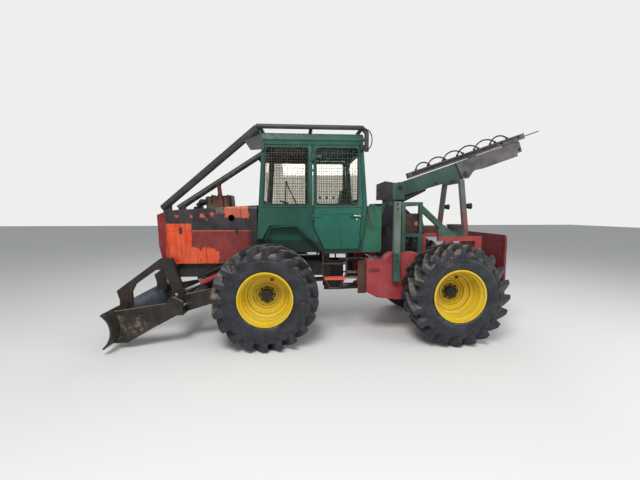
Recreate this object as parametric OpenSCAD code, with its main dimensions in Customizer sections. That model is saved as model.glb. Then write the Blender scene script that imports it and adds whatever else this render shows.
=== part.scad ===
/* [Running gear] */
// Distance between the front and the rear axle
wheelbase = 2549; // [2400:1:2700]
// Height of the wheel centres, equal to the radius at the lug tips
wheel_r = 690; // [670:1:700]
// Distance of a wheel's centre plane from the machine's middle
wheel_y = 855; // [850:1:880]
// Half the width of a tyre
tyre_half_w = 217; // [205:1:218]
// Height of the lugs over the tread
lug_h = 42; // [25:1:50]
// Width of a lug along the tread
lug_w = 46; // [30:1:60]
// How far the outer end of a lug lies behind its inner end, in degrees
lug_sweep = 17; // [10:1:22]
// Number of lugs on each half of the tread
lug_count = 20; // [14:2:22]
// Radius of the rim's flange
flange_r = 356; // [350:1:360]
// Half the width of the rim over its flanges
rim_half_w = 195; // [190:1:200]
// How far the wheel disc lies behind the rim's outer edge
disc_recess = 308; // [280:1:312]
// Thickness of the wheel disc at its hub
disc_t = 16; // [10:1:20]
// Thickness of the rim's flange
flange_t = 12; // [8:1:14]
// Radius of the rim's centre hole
pilot_r = 76.5; // [70:0.5:80]
// Diameter of the wheel bolt circle
bolt_pcd = 203; // [190:1:220]
// Radius of a wheel bolt hole
bolt_r = 11; // [9:0.5:13]
// Radius of the axle tubes
axle_r = 85; // [70:1:90]

/* [Frames] */
// Height of the underside of the front rails
front_rail_z = 880; // [860:1:900]
// Depth of the front rails
front_rail_h = 200; // [180:1:210]
// Half the width over the front rails
front_rail_y = 420; // [410:1:425]
// Thickness of a front rail
front_rail_t = 120; // [60:1:130]
// Distance of the steering pivot behind the front axle
pivot_back = 1400; // [1390:1:1410]
// Radius of the steering pivot pins
pivot_r = 30; // [20:1:40]
// Height of the underside of the rear rails
rear_rail_z = 820; // [800:1:840]
// Depth of the rear rails
rear_rail_h = 240; // [200:1:260]
// Half the width over the red side boxes
box_y = 600; // [560:1:610]
// Half the width of the tail plate
tail_half_w = 650; // [600:1:700]
// Height of the tail plate's top edge
tail_top = 1470; // [1420:1:1490]
// Radius of the work lamps on the boom rest
lamp_r = 46; // [36:1:56]

/* [Cab] */
// Half the width of the cab
cab_y = 700; // [690:1:702]
// Thickness of the cab walls and doors
cab_wall = 40; // [30:1:50]
// Height of the cab floor's underside
cab_floor_z = 1240; // [1230:1:1250]
// Height of the joint between lower and upper cab
cab_waist_z = 1878; // [1860:1:1890]
// Height of the underside of the roof
roof_z = 2736; // [2730:1:2760]
// Thickness of the roof
roof_t = 104; // [80:1:110]
// Gap around each door
door_gap = 7.5; // [7:0.5:9]
// Thickness of the window glass
glass_t = 6; // [4:1:8]
// Thickness of a wire of the window guards
wire_t = 5; // [4:0.5:8]
// Pitch of the window guards' mesh
mesh_pitch = 68; // [50:1:90]
// Radius of the roof guard's tubes
guard_r = 30; // [20:1:34]
// Radius of the brush bars that run down to the bonnet
brush_r = 50; // [44:1:54]

/* [Bonnet] */
// Half the width of the bonnet
bonnet_y = 490; // [450:1:500]
// Thickness of the bonnet sheets
sheet_t = 12; // [8:1:20]
// Height of the joint between bonnet top and side panels
bonnet_joint_z = 1538; // [1500:1:1560]

/* [Blade] */
// Half the width of the blade
blade_half_w = 1000; // [900:1:1050]
// Radius of the blade's hollow face
blade_r = 260; // [240:1:280]
// Thickness of the blade's plate
blade_t = 25; // [16:1:30]
// Radius of the blade cylinders' rods
lift_rod_r = 20; // [15:1:24]
// Radius of the blade cylinders' barrels
lift_barrel_r = 36; // [28:1:40]

/* [Crane] */
// Angle of the boom over the horizontal
boom_angle = 19; // [17:0.5:21]
// Half the width of the main boom
boom_y = 73; // [60:1:74]
// Half the width of the jib's sleeve
jib_y = 80; // [80:1:90]
// Wall of the jib's sleeve
jib_wall = 10; // [6:1:12]
// Gap round the sliding inner jib
jib_gap = 6; // [5:0.5:8]
// Half the width of the slewing column
column_y = 118; // [100:1:125]
// Radius of the crane cylinder's barrel
crane_barrel_r = 45; // [35:1:48]
// Radius of the crane cylinder's rod
crane_rod_r = 25; // [18:1:30]
// Radius of the hoses on the jib
hose_r = 8; // [5:0.5:9]
// Radius of the hole at the crane's tip
tip_bore_r = 20; // [15:0.5:25]
// Radius of the winch drum's core
drum_r = 78; // [60:1:90]

/* [Hidden] */

dark = [0.16, 0.17, 0.17];
olive = [0.24, 0.23, 0.17];
red = [0.55, 0.12, 0.12];
green = [0.07, 0.27, 0.19];
steel = [0.36, 0.35, 0.33];
yellow = [0.75, 0.62, 0.05];
seat_gap = 0.25;
door_top = roof_z - 46;
window_top = roof_z - 86;
rear_window_top = roof_z - 116;
guard_z = roof_z + 170;

// All places along the machine are measured from the front axle, forward is positive.
nose_x = 2035;
rod_tip_u = 2464;
side_beam_z = 1440;
rest_x = -2935;
tower_arm = 50;
tip_rod_w = 125;
tip_rod_r = 8;
boom_pin_x = -2010;
boom_pin_z = 2180;
tail_x = boom_pin_x - rod_tip_u * cos(boom_angle) + (tip_rod_w - tip_rod_r) * sin(boom_angle);
front_axle_x = -(nose_x + tail_x) / 2;
rear_x = -wheelbase;
pivot_x = -pivot_back;
column_x = -1865;

// The cab's outline seen from the side
cab_front = [[135, cab_floor_z], [103, 1900], [45, roof_z]];
cab_back = [[-1300, roof_z], [-1365, 1900], [-1275, cab_floor_z]];
door_x = -628;
door_hinge = [-625, 718];
hinge_z = [1690, 2480];
blade_c = [2183, 305];
arm_tip = blade_c[0] - 183;
arm_pin = [380, 740];
barrel_pin = [450, 1020];
rod_pin = [1250, 670];
crane_barrel_pin = [-2050, 1985];
crane_rod_pin = [-2596, 2255];
jib_pin = [1060, -135];
pin_drift = 11;
steer_z = 800;
steer_pin = [pivot_x + 850, 335];
steer_rod_pin = [pivot_x - 50, 220];

// Moves a child from the front axle's frame to the machine's own frame.
module placed() {
    translate([front_axle_x, 0, 0]) children();
}

// Repeats a child on both sides.
module both() {
    children();
    mirror([0, 1, 0]) children();
}

// Extrudes a side view across the machine, from y0 over a width of w.
module across(y0, w) {
    translate([0, y0 + w, 0]) rotate([90, 0, 0]) linear_extrude(w) children();
}

// Extrudes a front view, drawn in Y and Z, forward from x0 over a length of l.
module along(x0, l) {
    translate([x0, 0, 0]) rotate([90, 0, 90]) linear_extrude(l) children();
}

// A round bar between two points.
module bar(p, q, r) {
    v = q - p;
    translate(p) rotate([0, acos(v[2] / norm(v)), atan2(v[1], v[0])])
        cylinder(h = norm(v), r = r, $fn = 24);
}

// A pin or ring across the machine at a place in the side view.
module across_pin(p, y0, w, r) {
    translate([p[0], y0, p[1]]) rotate([-90, 0, 0]) cylinder(h = w, r = r, $fn = 32);
}

// Places the crane's side view, drawn along the boom from its pin, where the boom stands.
module on_boom() {
    translate([boom_pin_x, 0, boom_pin_z]) rotate([0, boom_angle, 0]) mirror([1, 0, 0]) children();
}

// A rectangle with round corners, as lines and arcs.
module round_rect(x0, y0, x1, y1, r) {
    translate([x0 + r, y0]) square([x1 - x0 - 2 * r, y1 - y0]);
    translate([x0, y0 + r]) square([x1 - x0, y1 - y0 - 2 * r]);
    for (x = [x0 + r, x1 - r], y = [y0 + r, y1 - r])
        translate([x, y]) circle(r, $fn = 32);
}

// A point at a radius and an angle round the Z axis
function spoke(r, a, z) = [r * cos(a), r * sin(a), z];

// Rings of half a tyre: radius, distance from its middle plane, angle behind the first ring,
// and 1 where the points stand in pairs at the edges of the lugs
function tyre_rings() = [
    [wheel_r - lug_h, 9, 0, 1], [wheel_r, 9, 0, 1],
    [wheel_r - lug_h - 46, tyre_half_w - 12, lug_sweep, 1], [wheel_r - 36, tyre_half_w - 12, lug_sweep, 1],
    [586, tyre_half_w - 4, lug_sweep, 0], [450, tyre_half_w, lug_sweep, 0],
    [364, bead_y(), lug_sweep, 0], [349, bead_y(), lug_sweep, 0]
];

function bead_y() = rim_half_w - flange_t - seat_gap;

// Index of a tyre point: half h, ring k, place j round the ring
function tyre_at(h, k, j) = (h * len(tyre_rings()) + k) * 2 * lug_count + (j + 2 * lug_count) % (2 * lug_count);

// The four-sided faces of half a tyre, each with its corners in turn
function half_tyre_faces(h) = let (m = 2 * lug_count, mid = 2 * len(tyre_rings()) * m) concat(
    // Top, two flanks and two ends of each lug
    [for (j = [0 : 2 : m - 1]) each [
        [tyre_at(h, 1, j), tyre_at(h, 3, j), tyre_at(h, 3, j + 1), tyre_at(h, 1, j + 1)],
        [tyre_at(h, 0, j), tyre_at(h, 2, j), tyre_at(h, 3, j), tyre_at(h, 1, j)],
        [tyre_at(h, 0, j + 1), tyre_at(h, 1, j + 1), tyre_at(h, 3, j + 1), tyre_at(h, 2, j + 1)],
        [tyre_at(h, 0, j), tyre_at(h, 1, j), tyre_at(h, 1, j + 1), tyre_at(h, 0, j + 1)],
        [tyre_at(h, 2, j), tyre_at(h, 2, j + 1), tyre_at(h, 3, j + 1), tyre_at(h, 3, j)]
    ]],
    // Groove behind each lug
    [for (j = [1 : 2 : m - 1])
        [tyre_at(h, 0, j), tyre_at(h, 2, j), tyre_at(h, 2, j + 1), tyre_at(h, 0, j + 1)]],
    // Strip along the middle plane, then the shoulder and the side wall
    [for (j = [0 : m - 1])
        [mid + (j + h) % m, tyre_at(h, 0, j), tyre_at(h, 0, j + 1), mid + (j + h + 1) % m]],
    [for (k = [[2, 4], [4, 5], [5, 6], [6, 7]], j = [0 : m - 1])
        [tyre_at(h, k[0], j), tyre_at(h, k[1], j), tyre_at(h, k[1], j + 1), tyre_at(h, k[0], j + 1)]]
);

// A tyre round the Z axis, with its lugs in two staggered rows
module tyre_shape() {
    m = 2 * lug_count;
    step = 360 / m;
    lug_a = lug_w / wheel_r * 180 / PI;
    bore = [for (j = [0 : m - 1]) [tyre_at(0, 7, j), tyre_at(1, 7, j - 1), tyre_at(1, 7, j), tyre_at(0, 7, j + 1)]];
    polyhedron(
        points = concat(
            [for (h = [0, 1], r = tyre_rings(), j = [0 : m - 1]) spoke(
                r[0], (j - j % 2 + h) * step + (j % 2) * (r[3] > 0 ? lug_a : step) + r[2], (1 - 2 * h) * r[1]
            )],
            [for (j = [0 : m - 1]) spoke(wheel_r - lug_h, j * step, 0)]
        ),
        faces = concat(
            [for (q = concat(half_tyre_faces(0), bore)) each [[q[0], q[1], q[2]], [q[0], q[2], q[3]]]],
            [for (q = half_tyre_faces(1)) each [[q[0], q[2], q[1]], [q[0], q[3], q[2]]]]
        )
    );
}

// A deep-dish rim round the Z axis, its outer edge up.
module rim_shape() {
    w = rim_half_w;
    hub = w - disc_recess;
    difference() {
        rotate_extrude($fn = 96) polygon([
            [flange_r, w], [flange_r, w - flange_t], [343, w - flange_t], [340, 150], [322, 120],
            [322, -120], [340, -150], [343, flange_t - w], [flange_r, flange_t - w], [flange_r, -w],
            [336, -w], [328, -152], [310, -122], [310, 8], [304, 2], [296, -46], [272, -60], [262, -86],
            [198, -100], [186, hub - disc_t], [pilot_r, hub - disc_t], [pilot_r, hub], [178, hub],
            [190, -84], [252, -70], [262, -44], [286, -30], [294, 22], [310, 34], [310, 122],
            [328, 152], [336, w]
        ]);
        for (i = [0 : 7])
            rotate([0, 0, i * 45 + 22.5]) translate([bolt_pcd / 2, 0, hub - 20])
                cylinder(h = 30, r = bolt_r, $fn = 24);
    }
}

// Places a wheel piece at an axle, on the left for side 1 and on the right for side -1.
module at_wheel(x, side) {
    placed() translate([x, side * wheel_y, wheel_r]) {
        if (side > 0)
            mirror([0, 1, 0]) rotate([90, 0, 0]) children();
        else
            rotate([90, 0, 0]) children();
    }
}

// One axle: tubes, final drive drums, pilots that carry the rims, and the differential.
module axle_shape(x) {
    drum_end = wheel_y + rim_half_w - disc_recess - disc_t - 0.5;
    placed() translate([x, 0, wheel_r]) {
        both() rotate([-90, 0, 0]) {
            cylinder(h = drum_end - 60, r = axle_r, $fn = 48);
            translate([0, 0, 470]) cylinder(h = 90, r1 = axle_r, r2 = 150, $fn = 48);
            translate([0, 0, 560]) cylinder(h = drum_end - 560, r = 165, $fn = 48);
            translate([0, 0, drum_end - 1]) cylinder(h = 52, r = pilot_r - 0.5, $fn = 48);
        }
        sphere(r = 165, $fn = 48);
        rotate([0, 90, 0]) translate([0, 0, -230]) cylinder(h = 460, r = 80, $fn = 48);
    }
}

module front_chassis() {
    color(dark) placed() {
        top = front_rail_z + front_rail_h;
        inner = front_rail_y - front_rail_t;
        both() translate([-900, inner, front_rail_z]) cube([2350, front_rail_t, front_rail_h]);
        for (x = [-900, 180, 1150])
            translate([x, -inner - 1, front_rail_z + 10]) cube([80, 2 * inner + 2, 70]);
        translate([1250, -inner - 1, front_rail_z]) cube([80, 2 * inner + 2, front_rail_h]);
        // Ledges under the bonnet's sides
        both() for (x = [160, 1250])
            translate([x, front_rail_y - 1, top - 40]) cube([80, bonnet_y - front_rail_y + 1, 40]);
        // Mounts under the cab, and saddles on the axle
        both() for (x = [-880, 20])
            translate([x, inner + 10, top - 1]) cube([100, front_rail_t - 20, cab_floor_z - seat_gap - top + 1]);
        both() translate([-110, inner, wheel_r + axle_r + seat_gap])
            cube([220, front_rail_t, front_rail_z - wheel_r - axle_r]);
        // Neck with the two forked plates of the steering pivot
        translate([-1120, -150, 600]) cube([60, 300, 460]);
        both() translate([-1120, 130, 600]) cube([300, 20, 460]);
        both() translate([-900, 130, front_rail_z + 10]) cube([80, inner - 129, 70]);
        for (z = [600, 1020])
            translate([0, 0, z]) linear_extrude(40) difference() {
                union() {
                    polygon([[-1061, -150], [-1061, 150], [pivot_x, 110], [pivot_x, -110]]);
                    translate([pivot_x, 0]) circle(110, $fn = 64);
                }
                translate([pivot_x, 0]) circle(pivot_r + 0.5, $fn = 64);
            }
        // Brackets with the pins of the blade arms and of the blade cylinders
        both() {
            across(front_rail_y - 1, 92) polygon([
                [270, 920], [270, 700], [320, 655], [440, 655], [490, 700], [490, 920]
            ]);
            across_pin(arm_pin, front_rail_y + 60, 122, 25);
            across_pin(barrel_pin, front_rail_y - 1, 96, 20);
        }
        // Brackets under the rails with the pins of the steering rams
        both() translate([steer_pin[0], steer_pin[1], 0]) {
            translate([-50, -50, steer_z + 38]) cube([120, 100, front_rail_z - steer_z - 37]);
            translate([-50, -50, steer_z - 58]) cube([120, 100, 20]);
            translate([45, -50, steer_z - 58]) cube([25, 100, 116]);
            translate([0, 0, steer_z - 48]) cylinder(h = 96, r = 20, $fn = 48);
        }
    }
}

module front_axle() {
    color(dark) axle_shape(0);
}

module rear_axle() {
    color(dark) axle_shape(rear_x);
}

module engine_block() {
    color(steel) placed() translate([200, -260, front_rail_z + 80 + seat_gap]) cube([980, 520, 640]);
}

// The bonnet's side view, shrunk by a sheet thickness where e is above zero
module bonnet_side_view(e) {
    polygon([
        [150 - e, bonnet_joint_z - (e > 0 ? 1 : 0)], [150 - e, 1896 - e], [1355 - e, 1822 - e],
        [1510 - e, 1760 - e], [1502 - e, bonnet_joint_z - (e > 0 ? 1 : 0)]
    ]);
}

module bonnet_end_view(e) {
    w = bonnet_y - e;
    h = 1897 - e;
    round_r = 60;
    translate([-w, bonnet_joint_z - 2]) square([2 * w, h - round_r - bonnet_joint_z + 2]);
    translate([-w + round_r, bonnet_joint_z - 2]) square([2 * (w - round_r), h - bonnet_joint_z + 2]);
    for (s = [-1, 1])
        translate([s * (w - round_r), h - round_r]) circle(round_r, $fn = 48);
}

module bonnet_top() {
    color(red) placed() difference() {
        intersection() {
            across(-bonnet_y, 2 * bonnet_y) bonnet_side_view(0);
            along(100, 1500) bonnet_end_view(0);
        }
        intersection() {
            across(-bonnet_y, 2 * bonnet_y) bonnet_side_view(sheet_t);
            along(100, 1500) bonnet_end_view(sheet_t);
        }
        both() across_pin([505, 1718], bonnet_y - 60, 80, 45);
    }
}

module bonnet_sides() {
    color(red) placed() both() across(bonnet_y - sheet_t, sheet_t) polygon([
        [150, top_of_rails()], [150, bonnet_joint_z - seat_gap], [1500, bonnet_joint_z - seat_gap],
        [1498, 1340], [1445, top_of_rails()]
    ]);
}

function top_of_rails() = front_rail_z + front_rail_h + seat_gap;

// Slotted front panel under the bonnet's nose
module bonnet_front() {
    z0 = top_of_rails();
    z1 = bonnet_joint_z - seat_gap;
    color(red) placed() difference() {
        across(-bonnet_y + sheet_t + seat_gap, 2 * (bonnet_y - sheet_t - seat_gap)) polygon([
            [1415, z0], [1445, z0], [1498, 1340], [1500, z1], [1470, z1], [1468, 1340]
        ]);
        for (i = [0 : 9], y = [-380, 30])
            translate([1400, y, z0 + 60 + i * 34]) cube([120, 350, 18]);
    }
}

// Just above the bonnet's top at a distance x from the front axle
function bonnet_z(x) = 1896 - (x - 150) * 74 / 1205 + seat_gap;

// Just above the bonnet's sloping nose
function nose_z(x) = 1822 - (x - 1355) * 62 / 155 + seat_gap * 1.08;

module engine_pipes() {
    color([0.32, 0.16, 0.09]) placed() {
        bar([702, 190, bonnet_z(702) + 8], [735, 190, 2195], 30);
        across(145, 90) polygon([
            [655, bonnet_z(655)], [655, bonnet_z(655) + 14], [750, bonnet_z(750) + 14], [750, bonnet_z(750)]
        ]);
    }
    // Air box, and the elbow from it into the bonnet
    color(dark) placed() {
        across(-120, 240) polygon([
            [940, bonnet_z(940)], [950, 2022], [925, 2032], [575, 2052], [560, bonnet_z(560)]
        ]);
        bar([920, 0, 1965], [1040, 0, 1945], 45);
        translate([1040, 0, 1945]) sphere(r = 53, $fn = 32);
        bar([1040, 0, 1945], [1100, 0, 1885], 45);
        across(-60, 120) polygon([
            [1035, bonnet_z(1035)], [1035, 1890], [1150, 1880], [1150, bonnet_z(1150)]
        ]);
    }
}

module cab_outline() {
    polygon(concat(cab_front, cab_back));
}

module cab_hollow() {
    w = cab_wall;
    polygon([
        [135 - w, cab_floor_z + w], [103 - w, 1900], [45 - w, roof_z + 1], [-1300 + w, roof_z + 1],
        [-1365 + w, 1900], [-1275 + w, cab_floor_z + w]
    ]);
}

// The door's outline from the side, grown by g all round
module door_outline(g) {
    polygon([
        [door_x + g, door_top + g], [door_x + g, 1600 - g / 2], [-780 + g / 2, 1285 - g], [-1238 - g, 1285 - g],
        [-1302 - g, 1900], [-1246 - g, door_top + g]
    ]);
}

module door_window(g) {
    round_rect(-1232 - g, 1905 - g, -668 + g, window_top + g, 45 + g);
}

// The opening over the front wheel, seen from the side
module arch_outline() {
    polygon([
        [-40, 1620], [-400, 1620], [-790, cab_floor_z - 1], [160, cab_floor_z - 1], [160, 1440], [60, 1440]
    ]);
}

module cab_shell() {
    difference() {
        across(-cab_y, 2 * cab_y) cab_outline();
        across(-cab_y + cab_wall, 2 * (cab_y - cab_wall)) cab_hollow();
        both() across(cab_y - cab_wall - 1, cab_wall + 2) door_outline(door_gap);
    }
}

// The half of a door hinge that is fixed to the cab, with its pin
module hinge_post(z) {
    translate([door_hinge[0], door_hinge[1], z]) {
        cylinder(h = 40, r = 14, $fn = 32);
        cylinder(h = 86, r = 8, $fn = 32);
        translate([0, cab_y - door_hinge[1] - 1, 0]) cube([52, 14, 40]);
    }
}

// The half of a door hinge that turns with the door
module hinge_leaf(z) {
    translate([door_hinge[0], door_hinge[1], z + 40.15]) difference() {
        union() {
            cylinder(h = 40, r = 14, $fn = 32);
            translate([-110, cab_y - door_hinge[1] - 1, 0]) cube([107, 9, 40]);
        }
        translate([0, 0, -1]) cylinder(h = 42, r = 8.2, $fn = 32);
    }
}

module cab_lower() {
    arch_y = 590;
    color(green) placed() {
        difference() {
            cab_shell();
            translate([-1600, -800, cab_waist_z]) cube([2000, 1600, roof_z]);
            both() across(arch_y, cab_y - arch_y + 1) arch_outline();
        }
        both() hinge_post(hinge_z[0]);
        // Inner wheel arches
        both() {
            across(arch_y - 20, 21) polygon([
                [-40, 1640], [-410, 1640], [-790, cab_floor_z + 10], [100, cab_floor_z + 10], [100, 1452],
                [70, 1452]
            ]);
            difference() {
                across(arch_y, cab_y - arch_y - 0.5) difference() {
                    polygon([
                        [-28, 1640], [-410, 1640], [-812, cab_floor_z], [100, cab_floor_z], [100, 1455],
                        [72, 1455]
                    ]);
                    arch_outline();
                }
                across(arch_y, cab_y) door_outline(door_gap);
            }
        }
    }
}

module cab_frame() {
    color(green) placed() {
        both() hinge_post(hinge_z[1]);
        difference() {
            cab_shell();
            translate([-1600, -800, 1000]) cube([2000, 1600, cab_waist_z + seat_gap - 1000]);
            both() across(cab_y - cab_wall - 1, cab_wall + 2) side_window(0);
            along(-100, 300) front_window(0);
            along(-1500, 300) rear_window(0);
        }
    }
}

// Windscreen and rear window, seen from the front and grown by g all round
module front_window(g) {
    round_rect(-590 - g, 1960 - g, 590 + g, window_top + g, 50);
}

module rear_window(g) {
    round_rect(-560 - g, 1990 - g, 560 + g, rear_window_top + g, 50);
}

module side_window(g) {
    polygon([
        [-556 - g, 1905 - g], [36 + g, 1905 - g], [-6 + g, window_top + g], [-556 - g, window_top + g]
    ]);
}

module cab_roof() {
    color(green) placed() intersection() {
        across(-cab_y - 22, 2 * cab_y + 44) polygon([
            [62, roof_z + seat_gap], [85, roof_z + 14], [98, roof_z + roof_t], [-1290, roof_z + roof_t],
            [-1318, roof_z + 14], [-1302, roof_z + seat_gap]
        ]);
        along(-1400, 1600) polygon([
            [-cab_y, roof_z], [cab_y, roof_z], [cab_y + 12, roof_z + 14], [cab_y, roof_z + roof_t - 12],
            [cab_y - 30, roof_z + roof_t], [30 - cab_y, roof_z + roof_t], [-cab_y, roof_z + roof_t - 12],
            [-cab_y - 12, roof_z + 14]
        ]);
    }
}

module cab_glass() {
    color([0.6, 0.7, 0.75, 0.35]) placed() {
        g = -seat_gap;
        both() across(cab_y - cab_wall / 2, glass_t) side_window(g);
        intersection() {
            along(-100, 300) front_window(g);
            across(-700, 1400) polygon([[82, 1900], [24, roof_z], [24 + glass_t, roof_z], [82 + glass_t, 1900]]);
        }
        intersection() {
            along(-1500, 300) rear_window(g);
            across(-700, 1400) polygon([
                [-1345, 1900], [-1280, roof_z], [-1280 + glass_t, roof_z], [-1345 + glass_t, 1900]
            ]);
        }
    }
}

// A wire mesh that fills a rectangle, as one flat plate with square holes
module mesh(x0, z0, x1, z1) {
    nx = round((x1 - x0) / mesh_pitch);
    nz = round((z1 - z0) / mesh_pitch);
    dx = (x1 - x0 - wire_t) / nx;
    dz = (z1 - z0 - wire_t) / nz;
    difference() {
        translate([x0, z0]) square([x1 - x0, z1 - z0]);
        for (i = [0 : nx - 1], j = [0 : nz - 1])
            translate([x0 + wire_t + i * dx, z0 + wire_t + j * dz]) square([dx - wire_t, dz - wire_t]);
    }
}

module window_guards() {
    color(steel) placed() both() across(cab_y - wire_t - 1, wire_t)
        mesh(-556 + seat_gap, 1905 + seat_gap, -8, window_top - seat_gap);
}

module seat() {
    color([0.08, 0.08, 0.09]) placed() {
        translate([-1120, -240, 1560]) cube([500, 480, 110]);
        across(-230, 460) polygon([[-1130, 1675], [-1020, 1675], [-1110, 2180], [-1200, 2180]]);
    }
}

module cab_controls() {
    floor_top = cab_floor_z + cab_wall + seat_gap;
    color(dark) placed() {
        translate([-1080, -200, floor_top]) cube([420, 400, 1560 - floor_top - seat_gap]);
        across(-60, 120) polygon([
            [-1070, 1530], [-1160, 1530], [-1160, 1675], [-1198, 1980], [-1172.8, 1980], [-1130.5, 1675],
            [-1130.5, 1560 - seat_gap], [-1070, 1560 - seat_gap]
        ]);
        // Steering column and wheel
        bar([-66, 0, floor_top + 20], [-330, 0, 1900], 28);
        translate([-120, -90, floor_top]) cube([140, 180, 60]);
        translate([-330, 0, 1900]) rotate([0, -22, 0]) {
            rotate_extrude($fn = 48) translate([190, 0]) circle(14, $fn = 16);
            for (a = [90, 210, 330])
                rotate([0, 0, a]) translate([0, -12, -6]) cube([190, 24, 12]);
            translate([0, 0, -20]) cylinder(h = 40, r = 42, $fn = 32);
        }
        // Lever console beside the seat
        translate([-1000, 300, floor_top]) cube([380, 140, 460]);
        for (x = [-960, -860, -760, -690])
            bar([x, 370, floor_top + 455], [x + 20, 370, floor_top + 620], 8);
    }
}

module roof_guard() {
    r = guard_r;
    y = cab_y + 45;
    roof_edge = cab_y + 12 + seat_gap;
    color(dark) placed() {
        both() {
            bar([-1335, y, guard_z - 306], [-1335, y, guard_z - 57], r);
            bar([-1335, y, guard_z - 67], [-1275, y, guard_z], r);
            bar([-1285, y, guard_z], [110, y, guard_z], r);
            // Brush bar down to the bonnet's nose, and its foot
            bar([95, y, guard_z - 22], [1500, 290, 1858], brush_r);
            across(262, 60) polygon([[1385, nose_z(1385)], [1385, 1915], [1490, 1850], [1490, nose_z(1490)]]);
            // Gusset at the bar, and brackets at the cab's front and rear posts
            across(roof_edge, 16) polygon([
                [15, guard_z - 286], [15, guard_z - 206], [75, guard_z - 26], [140, guard_z - 46],
                [290, guard_z - 155], [190, guard_z - 300]
            ]);
            across(cab_y + seat_gap, 20) polygon([
                [15, guard_z - 306], [15, guard_z - 216], [50, guard_z - 216], [50, guard_z - 306]
            ]);
            across(cab_y + seat_gap, 30) polygon([
                [-1345, guard_z - 286], [-1345, guard_z - 216], [-1258, guard_z - 216], [-1258, guard_z - 286]
            ]);
            // Feet on the roof
            for (x = [-1270, 60])
                translate([x, 500, roof_z + roof_t + seat_gap])
                    cylinder(h = guard_z - roof_z - roof_t - 10, r = 18, $fn = 32);
        }
        for (x = [-1275, -600, 60])
            bar([x, -y, guard_z], [x, y, guard_z], r - 4);
    }
}

module steps() {
    y = 660;
    color(olive) placed() both() {
        for (x = [-760, -1090])
            bar([x, y, 940], [x, y, cab_floor_z - 10], 14);
        translate([-1110, y - 25, cab_floor_z - 12 - seat_gap]) cube([370, 50, 12]);
        bar([-760, y, 945], [-860, y, 730], 14);
        bar([-1090, y, 945], [-990, y, 730], 14);
        bar([-855, y, 738], [-995, y, 738], 14);
        bar([-760, y, 1085], [-1090, y, 1085], 14);
    }
    color([0.8, 0.2, 0.05]) placed() both() translate([-1080, y - 100, 860]) cube([290, 120, 30]);
}

// Just behind the cab's rear wall at height z
function cab_back_x(z) = -1275.4 - 90 * (z - cab_floor_z) / (1900 - cab_floor_z);

module side_tanks() {
    color(green) placed() both() across(360, 250) polygon([
        [cab_back_x(1245), 1245], [cab_back_x(1885), 1885], [-1590, 1885], [-1590, 1255], [-1570, 1235],
        [cab_back_x(1245), 1235]
    ]);
}

module door() {
    color(green) placed() {
        across(cab_y - cab_wall, cab_wall) difference() {
            door_outline(0);
            door_window(0);
        }
        intersection() {
            across(cab_y - wire_t - 1, wire_t) mesh(-1236, 1901, -664, window_top + 4);
            across(cab_y - cab_wall, cab_wall) door_window(4);
        }
        translate([-1225, cab_y - 1, 1735]) cube([90, 24, 26]);
        for (z = hinge_z)
            hinge_leaf(z);
    }
}

module door_left() {
    door();
}

module door_right() {
    mirror([0, 1, 0]) door();
}

module door_glass() {
    color([0.6, 0.7, 0.75, 0.35]) placed() across(cab_y - cab_wall / 2, glass_t) door_window(-seat_gap);
}

module door_glass_left() {
    door_glass();
}

module door_glass_right() {
    mirror([0, 1, 0]) door_glass();
}

module blade() {
    color(olive) placed() across(-blade_half_w, 2 * blade_half_w) intersection() {
        translate(blade_c) difference() {
            circle(blade_r + blade_t, $fn = 128);
            circle(blade_r, $fn = 128);
        }
        polygon([
            blade_c, blade_c + 400 * [cos(126), sin(126)], blade_c + 400 * [cos(180), sin(180)],
            blade_c + 400 * [cos(232), sin(232)]
        ]);
    }
}

module blade_arms() {
    color(dark) placed() difference() {
        union() {
            both() {
                // Beam from the chassis pin to the cross tube
                across(520, 80) union() {
                    polygon([[380, 655], [380, 825], [1260, 640], [1260, 440], [1100, 440], [750, 545]]);
                    translate(arm_pin) circle(85, $fn = 64);
                }
                // Upright with the guard bar that slopes down to the blade
                across(540, 60) polygon([
                    [1100, 440], [1110, 600], [1290, 1175], [1440, 1175], [nose_x, 735], [arm_tip, 610],
                    [arm_tip, 480], [1840, 480], [1845, 715], [1790, 820], [1515, 1015], [1405, 1015],
                    [1255, 600], [1260, 440]
                ]);
                // Tapered outer plate behind the blade
                across(760, 40) polygon([
                    [1100, 440], [1100, 620], [1240, 700], [1325, 600], [arm_tip, 505], [arm_tip, 85], [1811, 90],
                    [1500, 272], [1180, 440]
                ]);
            }
            translate([1100, -800, 440]) cube([150, 1600, 110]);
        }
        across(-900, 1800) translate(blade_c) circle(blade_r + blade_t + seat_gap, $fn = 128);
        both() across_pin(arm_pin, 500, 120, 25.4);
        both() across_pin(rod_pin, 500, 120, lift_rod_r + pin_drift);
    }
}

// Places a cylinder's pieces: along +X from the barrel's pin, at the given slope in the side view
module from_pin(p, q) {
    translate([p[0], 0, p[1]]) rotate([0, -atan2(q[1] - p[1], q[0] - p[0]), 0]) children();
}

module blade_barrels() {
    color(red) placed() both() from_pin(barrel_pin, rod_pin) translate([0, 475, 0]) difference() {
        union() {
            rotate([0, 90, 0]) translate([0, 0, 20]) cylinder(h = 530, r = lift_barrel_r, $fn = 48);
            rotate([-90, 0, 0]) translate([0, 0, -20]) cylinder(h = 40, r = 40, $fn = 48);
        }
        rotate([-90, 0, 0]) translate([0, 0, -50]) cylinder(h = 100, r = 20.4, $fn = 48);
        rotate([0, 90, 0]) translate([0, 0, 60]) cylinder(h = 600, r = lift_rod_r + 0.4, $fn = 48);
    }
}

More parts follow.
